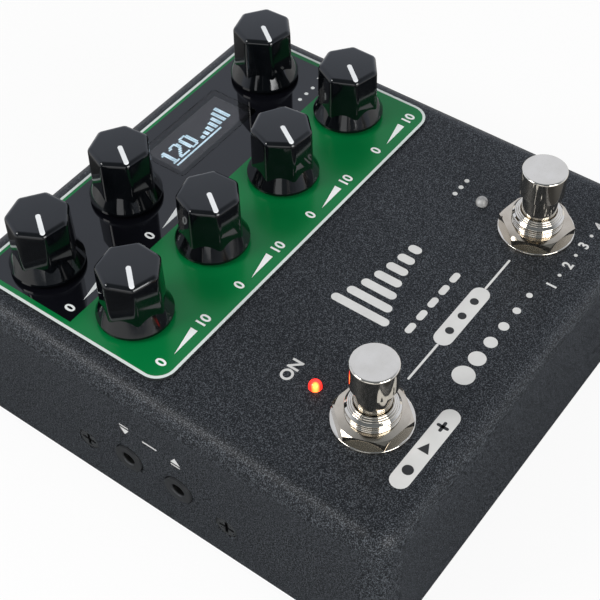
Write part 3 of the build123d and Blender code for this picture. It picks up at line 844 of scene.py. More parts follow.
def wear(node: str, finish: Finish) -> None:
    """Dress a CAD node as it is in a finish.

    Args:
        node: the CAD node's name.
        finish: what it wears.
    """
    materials = cad(node).data.materials
    materials.clear()
    materials.append(finish.material())
    log.info("%s wears %s", node, finish.name)


def middle_of(node: str) -> Vector:
    """Middle of a CAD node's box at rest."""
    low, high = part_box(node)
    return (low + high) / 2


def joint_of(body: str) -> dict:
    """The joint that moves a CAD body."""
    return next(joint for joint in frame["joints"] if joint["child"] == body)


def spread(count: int, pitch: float) -> list[float]:
    """Offsets of evenly spaced places round zero."""
    return [(number - (count - 1) / 2) * pitch for number in range(count)]


def link(made: bpy.types.Object) -> None:
    """Put an object in the scene."""
    bpy.context.scene.collection.objects.link(made)


def flatten(holder: bpy.types.Object) -> bpy.types.Mesh:
    """Take an object's finished mesh, and remove the object.

    Args:
        holder: the object, not yet in the scene.

    Returns:
        Its mesh.
    """
    link(holder)
    graph = bpy.context.evaluated_depsgraph_get()
    mesh = bpy.data.meshes.new_from_object(holder.evaluated_get(graph))
    bpy.data.objects.remove(holder)
    return mesh


def add_piece(
    name: str, mesh: bpy.types.Mesh, finish: Finish, body: str
) -> bpy.types.Object:
    """Make an object of a mesh that is already in place, and let it ride.

    Args:
        name: the piece's name.
        mesh: its mesh, in the shared frame.
        finish: what it wears.
        body: the CAD body that it rides on.

    Returns:
        The new piece.
    """
    mesh.materials.clear()
    mesh.materials.append(finish.material())
    piece = bpy.data.objects.new(name, mesh)
    link(piece)
    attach(piece, body)
    log.info("%s: %d faces, rides %s", name, len(mesh.polygons), body)
    return piece


def face_matrix(face: Face, stand_off: float = 0.0) -> Matrix:
    """Place of a face's drawing plane.

    Args:
        face: the face that is printed.
        stand_off: how far outside the face the plane lies.

    Returns:
        Matrix from the drawing's right, up and outward to the shared frame.
    """
    if face in (Face.TOP, Face.PANEL):
        z = COVER_HIGH.z if face is Face.TOP else PANEL_HIGH.z
        return Matrix.Translation((0, 0, z + stand_off))
    if face is Face.LEFT:
        turn = Matrix(((0, 0, -1), (-1, 0, 0), (0, 1, 0))).to_4x4()
        return Matrix.Translation((COVER_LOW.x - stand_off, 0, 0)) @ turn
    turn = Matrix(((-1, 0, 0), (0, 0, 1), (0, 1, 0))).to_4x4()
    return Matrix.Translation((0, COVER_HIGH.y + stand_off, 0)) @ turn


@dataclass
class Print:
    """Flat ink shapes on one face, drawn in millimetres and joined into one thin closed piece."""

    name: str
    face: Face
    finish: Finish
    thick: float = INK_MM
    layer: int = 0
    shapes: bmesh.types.BMesh = field(default_factory=bmesh.new)

    ARC_STEPS = 10
    DISC_STEPS = 36
    LETTER_BOLD = 0.028
    HALF_DEEP = 0.5
    WELD = 0.0005

    def outline(self, points: Sequence[Spot]) -> None:
        """Add a closed shape.

        Args:
            points: its outline, anticlockwise, in millimetres.
        """
        low = [self.shapes.verts.new((x, y, 0.0)) for x, y in points]
        high = [self.shapes.verts.new((x, y, self.thick)) for x, y in points]
        self.shapes.faces.new(high)
        self.shapes.faces.new(low[::-1])
        for this in range(len(points)):
            after = (this + 1) % len(points)
            self.shapes.faces.new((low[this], low[after], high[after], high[this]))

    def pill(self, middle: Spot, long: float, wide: float, turn: float = 0.0) -> None:
        """Add a bar with round ends.

        Args:
            middle: its middle.
            long: its whole length.
            wide: its width.
            turn: its angle from the drawing's right, in degrees.
        """
        radius = wide / 2
        reach = long / 2 - radius
        points = []
        for side, start in ((1, -90.0), (-1, 90.0)):
            for step in range(self.ARC_STEPS + 1):
                angle = math.radians(start + 180.0 * step / self.ARC_STEPS)
                points.append((side * reach + radius * math.cos(angle), radius * math.sin(angle)))
        self.outline(turned(points, middle, turn))

    def disc(self, middle: Spot, radius: float) -> None:
        """Add a round dot.

        Args:
            middle: its middle.
            radius: its radius.
        """
        points = []
        for step in range(self.DISC_STEPS):
            angle = 2 * math.pi * step / self.DISC_STEPS
            points.append((middle[0] + radius * math.cos(angle), middle[1] + radius * math.sin(angle)))
        self.outline(points)

    def polygon(self, points: Sequence[Spot], middle: Spot, turn: float = 0.0) -> None:
        """Add a straight-sided shape round a middle."""
        self.outline(turned(points, middle, turn))

    def words(self, text: str, middle: Spot, tall: float) -> None:
        """Add plain numerals or letters.

        Args:
            text: what is written.
            middle: its middle.
            tall: height of its capitals.
        """
        curve = bpy.data.curves.new("letters", "FONT")
        curve.body = text
        curve.offset = self.LETTER_BOLD
        curve.extrude = self.HALF_DEEP
        mesh = flatten(bpy.data.objects.new("letters", curve))
        bpy.data.curves.remove(curve)
        corners = [Vector(vertex.co) for vertex in mesh.vertices]
        low = Vector(map(min, *corners))
        high = Vector(map(max, *corners))
        scale = tall / (high.y - low.y)
        centre = (low + high) / 2
        mesh.transform(
            Matrix.Translation((*middle, self.thick / 2))
            @ Matrix.Diagonal((scale, scale, self.thick, 1.0))
            @ Matrix.Translation(-centre)
        )
        self.shapes.from_mesh(mesh)
        bpy.data.meshes.remove(mesh)

    def lay(self, slot: Slot) -> bpy.types.Object:
        """Put the drawing on its face as a piece that rides the case.

        Args:
            slot: not used.

        Returns:
            The new piece.
        """
        bmesh.ops.remove_doubles(self.shapes, verts=self.shapes.verts, dist=self.WELD)
        mesh = bpy.data.meshes.new(self.name)
        self.shapes.to_mesh(mesh)
        self.shapes.free()
        stand_off = (self.layer - 0.5) * self.thick * MM
        mesh.transform(face_matrix(self.face, stand_off) @ Matrix.Scale(MM, 4))
        return add_piece(self.name, mesh, self.finish, CASE_BODY)


def turned(points: Sequence[Spot], middle: Spot, turn: float) -> list[Spot]:
    """Points turned about zero by an angle in degrees, then carried to a middle."""
    cosine, sine = math.cos(math.radians(turn)), math.sin(math.radians(turn))
    return [(middle[0] + cosine * x - sine * y, middle[1] + sine * x + cosine * y) for x, y in points]


class GeometryDesk(NodeDesk):
    """Builds one geometry node tree with named inputs, and bakes it to plain meshes."""

    def __init__(self, name: str, inputs: dict[str, str]) -> None:
        """Start a tree.

        Args:
            name: the tree's name.
            inputs: socket type of each named input.
        """
        super().__init__(bpy.data.node_groups.new(name, "GeometryNodeTree"))
        sockets = self.tree.interface
        sockets.new_socket("Geometry", in_out="INPUT", socket_type="NodeSocketGeometry")
        self.ids: dict[str, str] = {}
        for label, kind in {**inputs, "Material": "NodeSocketMaterial"}.items():
            made = sockets.new_socket(label, in_out="INPUT", socket_type=kind)
            self.ids[label] = made.identifier
        sockets.new_socket("Geometry", in_out="OUTPUT", socket_type="NodeSocketGeometry")
        self.source = self.add("NodeGroupInput")

    def given(self, label: str) -> Socket:
        """Output of a named input."""
        return self.source.outputs[label]

    def close(self, geometry: Socket) -> None:
        """End the tree with realized, dressed geometry.

        Args:
            geometry: what the tree makes.
        """
        real = self.add("GeometryNodeRealizeInstances", Geometry=geometry).outputs[0]
        dressed = self.add("GeometryNodeSetMaterial", Geometry=real, Material=self.given("Material"))
        self.add("NodeGroupOutput", Geometry=dressed.outputs[0])

    def bake(
        self, finish: Finish, start: bpy.types.Mesh | None = None, **values: object
    ) -> bpy.types.Mesh:
        """Run the tree once.

        Args:
            finish: material of the result.
            start: mesh that goes in, if the tree reads one.
            values: the named inputs, with underscores for spaces.

        Returns:
            A plain mesh.
        """
        holder = bpy.data.objects.new("baking", start or bpy.data.meshes.new("baking"))
        modifier = holder.modifiers.new("tree", "NODES")
        modifier.node_group = self.tree
        for label, value in {**values, "Material": finish.material()}.items():
            modifier[self.ids[label.replace("_", " ")]] = value
        return flatten(holder)

    def series(self, step: Socket) -> tuple[Socket, Socket]:
        """Points in a row, with the size of what stands on each.

        Args:
            step: way from one point to the next.

        Returns:
            Count points, and a scale that takes the share Shrink from one to the next.
        """
        line = self.add("GeometryNodeMeshLine", Count=self.given("Count"), Offset=step)
        index = self.add("GeometryNodeInputIndex").outputs[0]
        share = self.sum("POWER", self.given("Shrink"), index)
        scale = self.add("ShaderNodeCombineXYZ", X=share, Y=share, Z=1.0)
        return line.outputs[0], scale.outputs[0]


def dot_row_tree(sides: int = 40) -> GeometryDesk:
    """Row of round dots, each a fixed share of the size of the one before it.

    Args:
        sides: corners of one dot.

    Returns:
        The tree.
    """
    desk = GeometryDesk(
        "dot_row",
        {
            "Count": WHOLE_NUMBER,
            "Pitch": NUMBER,
            "First Radius": NUMBER,
            "Shrink": NUMBER,
            "Thickness": NUMBER,
        },
    )
    step = desk.add("ShaderNodeCombineXYZ", X=desk.given("Pitch"))
    points, scale = desk.series(step.outputs[0])
    dot = desk.add(
        "GeometryNodeMeshCylinder",
        Vertices=sides,
        Radius=desk.given("First Radius"),
        Depth=desk.given("Thickness"),
    )
    row = desk.add("GeometryNodeInstanceOnPoints", Points=points, Instance=dot.outputs[0], Scale=scale)
    desk.close(row.outputs[0])
    return desk


def pixel_tree() -> GeometryDesk:
    """A flat square tile on every point of a mesh.

    Returns:
        The tree.
    """
    desk = GeometryDesk("lit_pixels", {"Tile": NUMBER, "Thickness": NUMBER})
    side = desk.given("Tile")
    size = desk.add("ShaderNodeCombineXYZ", X=side, Y=side, Z=desk.given("Thickness"))
    tile = desk.add("GeometryNodeMeshCube", Size=size.outputs[0]).outputs[0]
    tiles = desk.add("GeometryNodeInstanceOnPoints", Points=desk.given("Geometry"), Instance=tile)
    desk.close(tiles.outputs[0])
    return desk


def coil_tree(steps: int = 48) -> GeometryDesk:
    """Screw thread or spring: a ridge with closed ends, wound up the Z axis.

    Args:
        steps: places on one turn.

    Returns:
        The tree.
    """
    desk = GeometryDesk(
        "wound_coil",
        {
            "Radius": NUMBER,
            "Pitch": NUMBER,
            "Turns": NUMBER,
            "Ridge": NUMBER,
            "Sides": WHOLE_NUMBER,
        },
    )
    radius, turns = desk.given("Radius"), desk.given("Turns")
    wind = desk.add(
        "GeometryNodeCurveSpiral",
        Resolution=steps,
        Rotations=turns,
        Start_Radius=radius,
        End_Radius=radius,
        Height=desk.sum("MULTIPLY", desk.given("Pitch"), turns),
    )
    ridge = desk.add(
        "GeometryNodeCurvePrimitiveCircle", Resolution=desk.given("Sides"), Radius=desk.given("Ridge")
    )
    solid = desk.add(
        "GeometryNodeCurveToMesh", Curve=wind.outputs[0], Profile_Curve=ridge.outputs[0], Fill_Caps=True
    )
    desk.close(solid.outputs[0])
    return desk


def rib_tree(steps: int = 72, sides: int = 12) -> GeometryDesk:
    """Stack of round ribs up the Z axis, each a fixed share of the width of the one below it.

    Args:
        steps: places round one rib.
        sides: corners of a rib's section.

    Returns:
        The tree.
    """
    desk = GeometryDesk(
        "turned_ribs",
        {
            "Count": WHOLE_NUMBER,
            "Rise": NUMBER,
            "Radius": NUMBER,
            "Shrink": NUMBER,
            "Ridge": NUMBER,
        },
    )
    step = desk.add("ShaderNodeCombineXYZ", Z=desk.given("Rise"))
    points, scale = desk.series(step.outputs[0])
    ring = desk.add("GeometryNodeCurvePrimitiveCircle", Resolution=steps, Radius=desk.given("Radius"))
    ridge = desk.add("GeometryNodeCurvePrimitiveCircle", Resolution=sides, Radius=desk.given("Ridge"))
    rib = desk.add("GeometryNodeCurveToMesh", Curve=ring.outputs[0], Profile_Curve=ridge.outputs[0])
    stack = desk.add("GeometryNodeInstanceOnPoints", Points=points, Instance=rib.outputs[0], Scale=scale)
    desk.close(stack.outputs[0])
    return desk


@dataclass
class CaseShell:
    """Folded cover, base plate, rubber pad and side screws."""

    coats: dict[str, Finish] = field(
        default_factory=lambda: {
            "top_cover": POWDER,
            "base_plate": BASE_COAT,
            "base_pad": RUBBER,
            "side_screws": SCREW_BLACK,
        }
    )

    def dress(self) -> None:
        """Coat each piece."""
        for node, finish in self.coats.items():
            wear(node, finish)


@dataclass
class Knob:
    """One seven-sided knob with its pointer line and its shaft."""

    name: str
    colour: Colour = (0.0014, 0.0019, 0.0026)
    drift: Colour = (0.003, 0.0036, 0.0044)

    @property
    def spot(self) -> Spot:
        """Plan place of the knob's axis."""
        x, y, _ = joint_of(f"{self.name}_knob")["pos_m"]
        return x, y

    def dress(self) -> None:
        """Give each piece its finish."""
        wear(
            f"knob_{self.name}",
            DomedGloss(f"finish_{self.name}_gloss", self.colour, self.drift, self.spot),
        )
        wear(f"pointer_{self.name}", POINTER_WHITE)
        wear(f"shaft_{self.name}", ALLOY)


@dataclass
class ControlPanel:
    """Glossy printed panel, the knobs on it and the plain dial marks under them."""

    names: tuple[str, ...] = ("time", "repeat", "level", "reverb", "bass", "treble", "select")
    stepped: str = "select"
    steps: int = 7
    step_dots: int = 3
    step_pitch: float = 2.8
    step_r: float = 0.532
    label_from_knob: float = 13.6
    figure_tall: float = 2.7
    figure_out: float = 7.4
    wedge_half: float = 4.0
    wedge_tall: float = 1.9

    def dress(self) -> None:
        """Dress the panel and every knob, then print the dial marks."""
        wear("overlay_panel", PANEL_GLOSS)
        marks = Print("print_dial_marks", Face.PANEL, WHITE_INK)
        for name in self.names:
            knob = Knob(name)
            knob.dress()
            self.mark(marks, knob)
        marks.lay(Slot.PALE_INK)

    def mark(self, marks: Print, knob: Knob) -> None:
        """Print one knob's end numbers, with a growing wedge or a row of steps between them.

        Args:
            marks: the print that they join.
            knob: the knob that they belong to.
        """
        x, y = knob.spot[0] / MM, knob.spot[1] / MM - self.label_from_knob
        low, high = ("1", str(self.steps)) if knob.name == self.stepped else ("0", "10")
        marks.words(low, (x - self.figure_out, y), self.figure_tall)
        marks.words(high, (x + self.figure_out, y), self.figure_tall)
        if knob.name == self.stepped:
            for offset in spread(self.step_dots, self.step_pitch):
                marks.disc((x + offset, y), self.step_r)
            return
        wedge = [
            (-self.wedge_half, -self.wedge_tall / 2),
            (self.wedge_half, -self.wedge_tall / 2),
            (self.wedge_half, self.wedge_tall / 2),
        ]
        marks.polygon(wedge, (x, y))


@dataclass
class DisplayUnit:
    """Smoked window over a small screen that shows plain numerals and level bars."""

    pixel: float = 0.56 * MM
    tile: float = 0.50 * MM
    thick: float = 0.02 * MM
    lit_from_back: float = 0.4 * MM
    rows: tuple[str, ...] = (
        ".XX...XXXX...XXXX.....................XX....",
        "XXX..XX..XX.XX..XX.................XX.XX....",
        ".XX......XX.XX..XX.................XX.XX....",
        ".XX......XX.XX..XX..............XX.XX.XX....",
        ".XX.....XX..XX..XX...........XX.XX.XX.XX....",
        ".XX....XX...XX..XX........XX.XX.XX.XX.XX....",
        ".XX...XX....XX..XX.....XX.XX.XX.XX.XX.XX....",
        ".XX..XX.....XX..XX..XX.XX.XX.XX.XX.XX.XX....",
        "XXXX.XXXXXX..XXXX...XX.XX.XX.XX.XX.XX.XX....",
        "............................................",
        "XXXXXXXXXXXXXXXXXXXXXXXXXXXXXXX.............",
    )

    def dress(self) -> None:
        """Dress the window and screen, then light the pixels."""
        wear("display_window", SMOKED)
        wear("display_module", SCREEN_GLASS)
        wear("display_gasket", FOAM)
        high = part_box("display_module")[1]
        points = bpy.data.meshes.new("pixel_points")
        points.from_pydata(self.lit_spots(), [], [])
        mesh = pixel_tree().bake(LIT_DOTS, points, Tile=self.tile, Thickness=self.thick)
        centre = middle_of("display_window")
        place = (centre.x, centre.y - self.lit_from_back, high.z + self.thick)
        mesh.transform(Matrix.Translation(place))
        add_piece("display_lit_dots", mesh, LIT_DOTS, CASE_BODY)

    def lit_spots(self) -> list[Place]:
        """Places of the lit pixels round the middle of the screen.

        Returns:
            Places in metres, row by row from the back.
        """
        across = spread(len(self.rows[0]), self.pixel)
        down = spread(len(self.rows), self.pixel)
        spots = []
        for y, row in zip(reversed(down), self.rows):
            spots += [(x, y, 0.0) for x, mark in zip(across, row) if mark == "X"]
        return spots


@dataclass(frozen=True)
class RibStack:
    """Sizes of a stack of round ribs, from its lowest rib up."""

    count: int
    rise: float
    radius: float
    shrink: float
    ridge: float

    def bake(self, rings: GeometryDesk) -> bpy.types.Mesh:
        """Mesh of the ribs about the Z axis, with the middle of the lowest at z = 0.

        Args:
            rings: tree that stacks round ribs.

        Returns:
            The mesh.
        """
        return rings.bake(
            NICKEL,
            Count=self.count,
            Rise=self.rise,
            Radius=self.radius,
            Shrink=self.shrink,
            Ridge=self.ridge,
        )


@dataclass
class Footswitch:
    """Plated footswitch with a ribbed bush, its lamp and its return spring."""

    name: str
    lamp: Finish
    side_ribs: RibStack = RibStack(
        count=4, rise=0.62 * MM, radius=5.82 * MM, shrink=1.0, ridge=0.26 * MM
    )
    side_lift: float = 0.34 * MM
    top_ribs: RibStack = RibStack(
        count=3, rise=0.28 * MM, radius=5.25 * MM, shrink=0.925, ridge=0.3 * MM
    )
    wire_r: float = 0.3 * MM
    wire_sides: int = 12
    coil_r: float = 3.2 * MM
    coil_turns: float = 5.0

    def dress(self, coils: GeometryDesk, rings: GeometryDesk) -> None:
        """Give each piece its finish, turn the ribs of the bush and wind the spring.

        Args:
            coils: tree that winds a coil.
            rings: tree that stacks round ribs.
        """
        wear(f"plunger_{self.name}", NICKEL)
        wear(f"switch_body_{self.name}", NICKEL)
        wear(f"led_{self.name}", self.lamp)
        self.turn_ribs(rings)
        self.wind(coils)

    def turn_ribs(self, rings: GeometryDesk) -> None:
        """Add the round ribs on the side and the top of the bush.

        Args:
            rings: tree that stacks round ribs.
        """
        centre = middle_of(f"plunger_{self.name}")
        nut_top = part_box("switch_nuts")[1].z
        bush_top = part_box(f"switch_body_{self.name}")[1].z
        for place, ribs, z in (
            ("side", self.side_ribs, nut_top + self.side_lift),
            ("top", self.top_ribs, bush_top),
        ):
            mesh = ribs.bake(rings)
            mesh.transform(Matrix.Translation((centre.x, centre.y, z)))
            add_piece(f"switch_{self.name}_{place}_ribs", mesh, NICKEL, CASE_BODY)

    def wind(self, coils: GeometryDesk) -> None:
        """Wind a spring in place of the stiff one.

        Args:
            coils: tree that winds a coil.
        """
        node = f"spring_{self.name}"
        low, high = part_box(node)
        tall = high.z - low.z
        mesh = coils.bake(
            ZINC,
            Radius=self.coil_r,
            Pitch=(tall - 2 * self.wire_r) / self.coil_turns,
            Turns=self.coil_turns,
            Ridge=self.wire_r,
            Sides=self.wire_sides,
        )
        foot = Vector(((low.x + high.x) / 2, (low.y + high.y) / 2, low.z))
        mesh.transform(Matrix.Translation(foot + Vector((0.0, 0.0, self.wire_r))))
        coil = add_piece(f"{node}_coil", mesh, ZINC, CASE_BODY)
        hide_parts(node)
        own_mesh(coil)


@dataclass
class SwitchGear:
    """Both footswitches, their lamps and the nuts and washers that hold them."""

    hot_offset: Spot = (-0.75 * MM, -0.6 * MM)

    def dress(self) -> None:
        """Dress both switches and their fixings."""
        coils = coil_tree()
        rings = rib_tree()
        for switch in (Footswitch("on", self.lit_lamp()), Footswitch("tap", LAMP_CLEAR)):
            switch.dress(coils, rings)
        wear("switch_nuts", self.crowned())
        wear("switch_washers", NICKEL)
        wear("switch_locknuts", NUT_NICKEL)

    def crowned(self) -> Crowned:
        """Finish of the nuts, crowned round the axes of both switches.

        Returns:
            The finish.
        """
        centre = middle_of("plunger_on")
        return Crowned(
            "finish_crowned_nickel_shaded",
            # Darker and warmer than the switches' nickel; the darkening is painted shade on the nuts.
            colour=(0.62, 0.55, 0.45),
            tarnish=(0.50, 0.43, 0.34),
            gloss=(0.06, 0.14),
            middle=(abs(centre.x), abs(centre.y)),
        )

    def lit_lamp(self) -> Glow:
        """Finish of the lit lamp, hottest a little to the left of its middle and before it.

        Returns:
            The finish.
        """
        centre = middle_of("led_on")
        return Glow(
            "finish_lamp_lit",
            hot=(7.0, 1.6, 0.26),
            rim=(2.0, 0.055, 0.035),
            middle=(centre.x + self.hot_offset[0], centre.y + self.hot_offset[1]),
            hot_r=0.1 * MM,
            rim_r=0.95 * MM,
            lens=(0.12, 0.004, 0.003),
            lens_rim=(0.08, 0.003, 0.002),
        )


@dataclass(frozen=True)
class DotRow:
    """Printed row of round dots, in millimetres."""

    name: str
    count: int
    pitch: float
    first_r: float
    shrink: float
    start: Spot

    def lay(self, tree: GeometryDesk) -> None:
        """Print the row on the top.

        Args:
            tree: tree that makes a row of dots.
        """
        mesh = tree.bake(
            PALE_INK,
            Count=self.count,
            Pitch=self.pitch * MM,
            First_Radius=self.first_r * MM,
            Shrink=self.shrink,
            Thickness=INK_MM * MM,
        )
        start = Matrix.Translation((self.start[0] * MM, self.start[1] * MM, 0.0))
        mesh.transform(face_matrix(Face.TOP) @ start)
        add_piece(self.name, mesh, PALE_INK, CASE_BODY)


@dataclass
class TopPrint:
    """Plain prints on the bare front half of the top: marks, pills, echo bars and rows of dots."""

    word_middle: Spot = (-33.4, -19.9)
    word_tall: float = 3.0
    bars_left: float = -10.6
    bars_y: float = -22.2
    bar_pitch: float = 3.75
    bar_wide: float = 2.3
    bar_talls: tuple[float, ...] = (15.4, 12.0, 9.3, 7.2, 5.6, 4.4, 3.4)
    dash_row: Spot = (0.6, -34.4)
    dash_count: int = 5
    dash_pitch: float = 4.6
    dash_long: float = 3.3
    dash_wide: float = 1.7
    pill_middle: Spot = (1.0, -41.8)
    pill_long: float = 19.8
    pill_wide: float = 4.5
    pill_dots: int = 3
    pill_dot_pitch: float = 5.2
    pill_dot_r: float = 1.0
    line_ends: Span = (-20.9, 21.8)
    line_wide: float = 0.55
    low_pill: Spot = (-33.7, -54.6)
    low_pill_long: float = 23.4
    sign_out: float = 6.6
    round_sign_r: float = 1.25
    wedge_sign: tuple[Spot, ...] = ((-1.1, -1.35), (1.5, 0.0), (-1.1, 1.35))
    plus_long: float = 2.9
    plus_wide: float = 0.75
    figures: Spot = (31.9, -53.4)
    figure_count: int = 4
    figure_pitch: float = 7.6
    figure_tall: float = 2.6
    figure_dot_r: float = 0.45
    rows: tuple[DotRow, ...] = (
        DotRow("print_fading_dots", count=6, pitch=5.6, first_r=2.6, shrink=0.78, start=(-13.0, -50.9)),
        DotRow("print_beat_dots", count=3, pitch=2.7, first_r=0.62, shrink=1.0, start=(33.0, -19.9)),
    )

    def dress(self) -> None:
        """Lay every print."""
        pale = Print("print_top_marks", Face.TOP, PALE_INK)
        pale.words("ON", self.word_middle, self.word_tall)
        self.echo_bars(pale)
        self.dashes(pale)
        self.pills(pale)
        self.figure_row(pale)
        pale.lay(Slot.PALE_INK)
        self.pill_marks()
        tree = dot_row_tree()
        for row in self.rows:
            row.lay(tree)

    def echo_bars(self, pale: Print) -> None:
        """Upright bars that fade to the right, as a sound and its echoes.

        Args:
            pale: the print that they join.
        """
        for number, tall in enumerate(self.bar_talls):
            x = self.bars_left + number * self.bar_pitch
            pale.pill((x, self.bars_y), tall, self.bar_wide, 90.0)

    def dashes(self, pale: Print) -> None:
        """Row of short dashes under the bars.

        Args:
            pale: the print that they join.
        """
        x, y = self.dash_row
        for offset in spread(self.dash_count, self.dash_pitch):
            pale.pill((x + offset, y), self.dash_long, self.dash_wide)

    def pills(self, pale: Print) -> None:
        """Middle pill with a thin line out of each end, and the pill before the left switch.

        Args:
            pale: the print that they join.
        """
        x, y = self.pill_middle
        pale.pill(self.pill_middle, self.pill_long, self.pill_wide)
        for end, side in zip(self.line_ends, (-1, 1)):
            inner = x + side * self.pill_long / 2
            pale.pill(((end + inner) / 2, y), abs(end - inner), self.line_wide)
        pale.pill(self.low_pill, self.low_pill_long, self.pill_wide)

    def figure_row(self, pale: Print) -> None:
        """Plain figures before the right switch, with a dot between each two.

        Args:
            pale: the print that they join.
        """
        x, y = self.figures
        for number, offset in enumerate(spread(self.figure_count, self.figure_pitch), start=1):
            pale.words(str(number), (x + offset, y), self.figure_tall)
        for offset in spread(self.figure_count - 1, self.figure_pitch):
            pale.disc((x + offset, y), self.figure_dot_r)

    def pill_marks(self) -> None:
        """Dark marks on the pills: dots in the middle one, and plain transport signs in the low one."""
        dark = Print("print_pill_marks", Face.TOP, DARK_INK, layer=1)
        x, y = self.pill_middle
        for offset in spread(self.pill_dots, self.pill_dot_pitch):
            dark.disc((x + offset, y), self.pill_dot_r)
        x, y = self.low_pill
        dark.disc((x - self.sign_out, y), self.round_sign_r)
        dark.polygon(self.wedge_sign, (x, y))
        for turn in (0.0, 90.0):
            dark.pill((x + self.sign_out, y), self.plus_long, self.plus_wide, turn)
        dark.lay(Slot.DARK_INK)


@dataclass(frozen=True)
class Arrow:
    """Arrow head with a bar, beside a socket: down into an input and up out of an output."""

    size: float
    foot: float = 0.5
    bar_drop: float = 1.1
    bar_wide: float = 0.4

    def draw(self, marks: Print, middle: Spot, pull: Pull) -> None:
        """Add the arrow to a print.

        Args:
            marks: the print that it joins.
            middle: its middle.
            pull: which way it points.
        """
        size, way = self.size, pull.value
        head = [(-size, -size * self.foot), (size, -size * self.foot), (0.0, size)]
        marks.polygon(head, middle, 0.0 if way > 0 else 180.0)
        marks.pill((middle[0], middle[1] - way * size * self.bar_drop), 2 * size, self.bar_wide)


@dataclass
class SideSockets:
    """Small round sockets in the left face, with plain arrows over them."""

    nodes: dict[str, Pull] = field(
        default_factory=lambda: {"midi_in_jack": Pull.IN, "midi_out_jack": Pull.OUT}
    )
    mark_z: float = 28.6
    arrow: Arrow = Arrow(1.35)
    dash_long: float = 4.2
    dash_wide: float = 0.5

    def dress(self) -> None:
        """Dress the sockets and print their arrows."""
        marks = Print("print_side_marks", Face.LEFT, PALE_INK)
        for node, pull in self.nodes.items():
            wear(node, SOCKET_BLACK)
            across = -middle_of(node).y / MM
            self.arrow.draw(marks, (across, self.mark_z), pull)
        marks.pill((0.0, self.mark_z), self.dash_long, self.dash_wide)
        marks.lay(Slot.PALE_INK)


@dataclass
class BackSockets:
    """Plug sockets, power inlet and data port in the back face."""

    jacks: dict[str, Pull] = field(
        default_factory=lambda: {
            "jack_out_left": Pull.OUT,
            "jack_out_right": Pull.OUT,
            "jack_in_left": Pull.IN,
            "jack_in_right": Pull.IN,
        }
    )
    nose_r: float = 4.5 * MM
    thread_pitch: float = 0.5 * MM
    thread_turns: float = 2.4
    ridge: float = 0.14 * MM
    ridge_sides: int = 6
    mark_z: float = 31.5
    arrow: Arrow = Arrow(1.3)
    power_long: float = 4.4
    power_wide: float = 0.5
    power_apart: float = 0.6
    power_dashes: int = 3
    power_pitch: float = 1.6
    power_dash: float = 1.1

    def dress(self) -> None:
        """Dress the sockets, wind their threads and print their arrows."""
        marks = Print("print_back_marks", Face.BACK, PALE_INK)
        wear("jack_nuts", SOCKET_BLACK)
        wear("dc_inlet", SOCKET_BLACK)
        wear("usb_port", ZINC)
        coils = coil_tree()
        nut_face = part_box("jack_nuts")[1].y
        for node, pull in self.jacks.items():
            wear(node, SOCKET_BLACK)
            low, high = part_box(node)
            x, z = (low.x + high.x) / 2, (low.z + high.z) / 2
            thread = coils.bake(
                SOCKET_BLACK,
                Radius=self.nose_r,
                Pitch=self.thread_pitch,
                Turns=self.thread_turns,
                Ridge=self.ridge,
                Sides=self.ridge_sides,
            )
            start = Matrix.Translation((x, nut_face + self.ridge, z))
            thread.transform(start @ Matrix.Rotation(math.radians(-90.0), 4, "X"))
            add_piece(f"{node}_thread", thread, SOCKET_BLACK, CASE_BODY)
            self.arrow.draw(marks, (-x / MM, self.mark_z), pull)
        self.power_mark(marks)
        marks.lay(Slot.PALE_INK)

    def power_mark(self, marks: Print) -> None:
        """Plain direct-current sign over the power inlet: a line over three dashes.

        Args:
            marks: the print that it joins.
        """
        across = -middle_of("dc_inlet").x / MM
        marks.pill((across, self.mark_z + self.power_apart), self.power_long, self.power_wide)
        for offset in spread(self.power_dashes, self.power_pitch):
            place = (across + offset, self.mark_z - self.power_apart)
            marks.pill(place, self.power_dash, self.power_wide)


@dataclass
class Electronics:
    """Pieces inside the case."""

    finishes: dict[str, Finish] = field(
        default_factory=lambda: {
            "control_board": BOARD_MASK,
            "main_board": BOARD_MASK,
            "board_standoffs": BRASS,
            "board_screws": ZINC,
            "ribbon_cable": RIBBON,
            "pots": ZINC,
            "pot_nuts": NUT_NICKEL,
        }
    )

    def dress(self) -> None:
        """Give each piece its finish."""
        for node, finish in self.finishes.items():
            wear(node, finish)


@dataclass(frozen=True)
class Lamp:
    """One soft studio lamp, aimed at the pedal."""

    name: str
    place: Place
    size: Span
    watts: float

    def build(self, target: Vector) -> None:
        """Hang the lamp and aim it.

        Args:
            target: what the lamp is aimed at.
        """
        light = bpy.data.lights.new(self.name, "AREA")
        light.shape = "RECTANGLE"
        light.size, light.size_y = self.size
        light.energy = self.watts
        lamp = bpy.data.objects.new(self.name, light)
        link(lamp)
        lamp.location = self.place
        lamp.rotation_mode = "QUATERNION"
        lamp.rotation_quaternion = (target - lamp.location).to_track_quat("-Z", "Y")


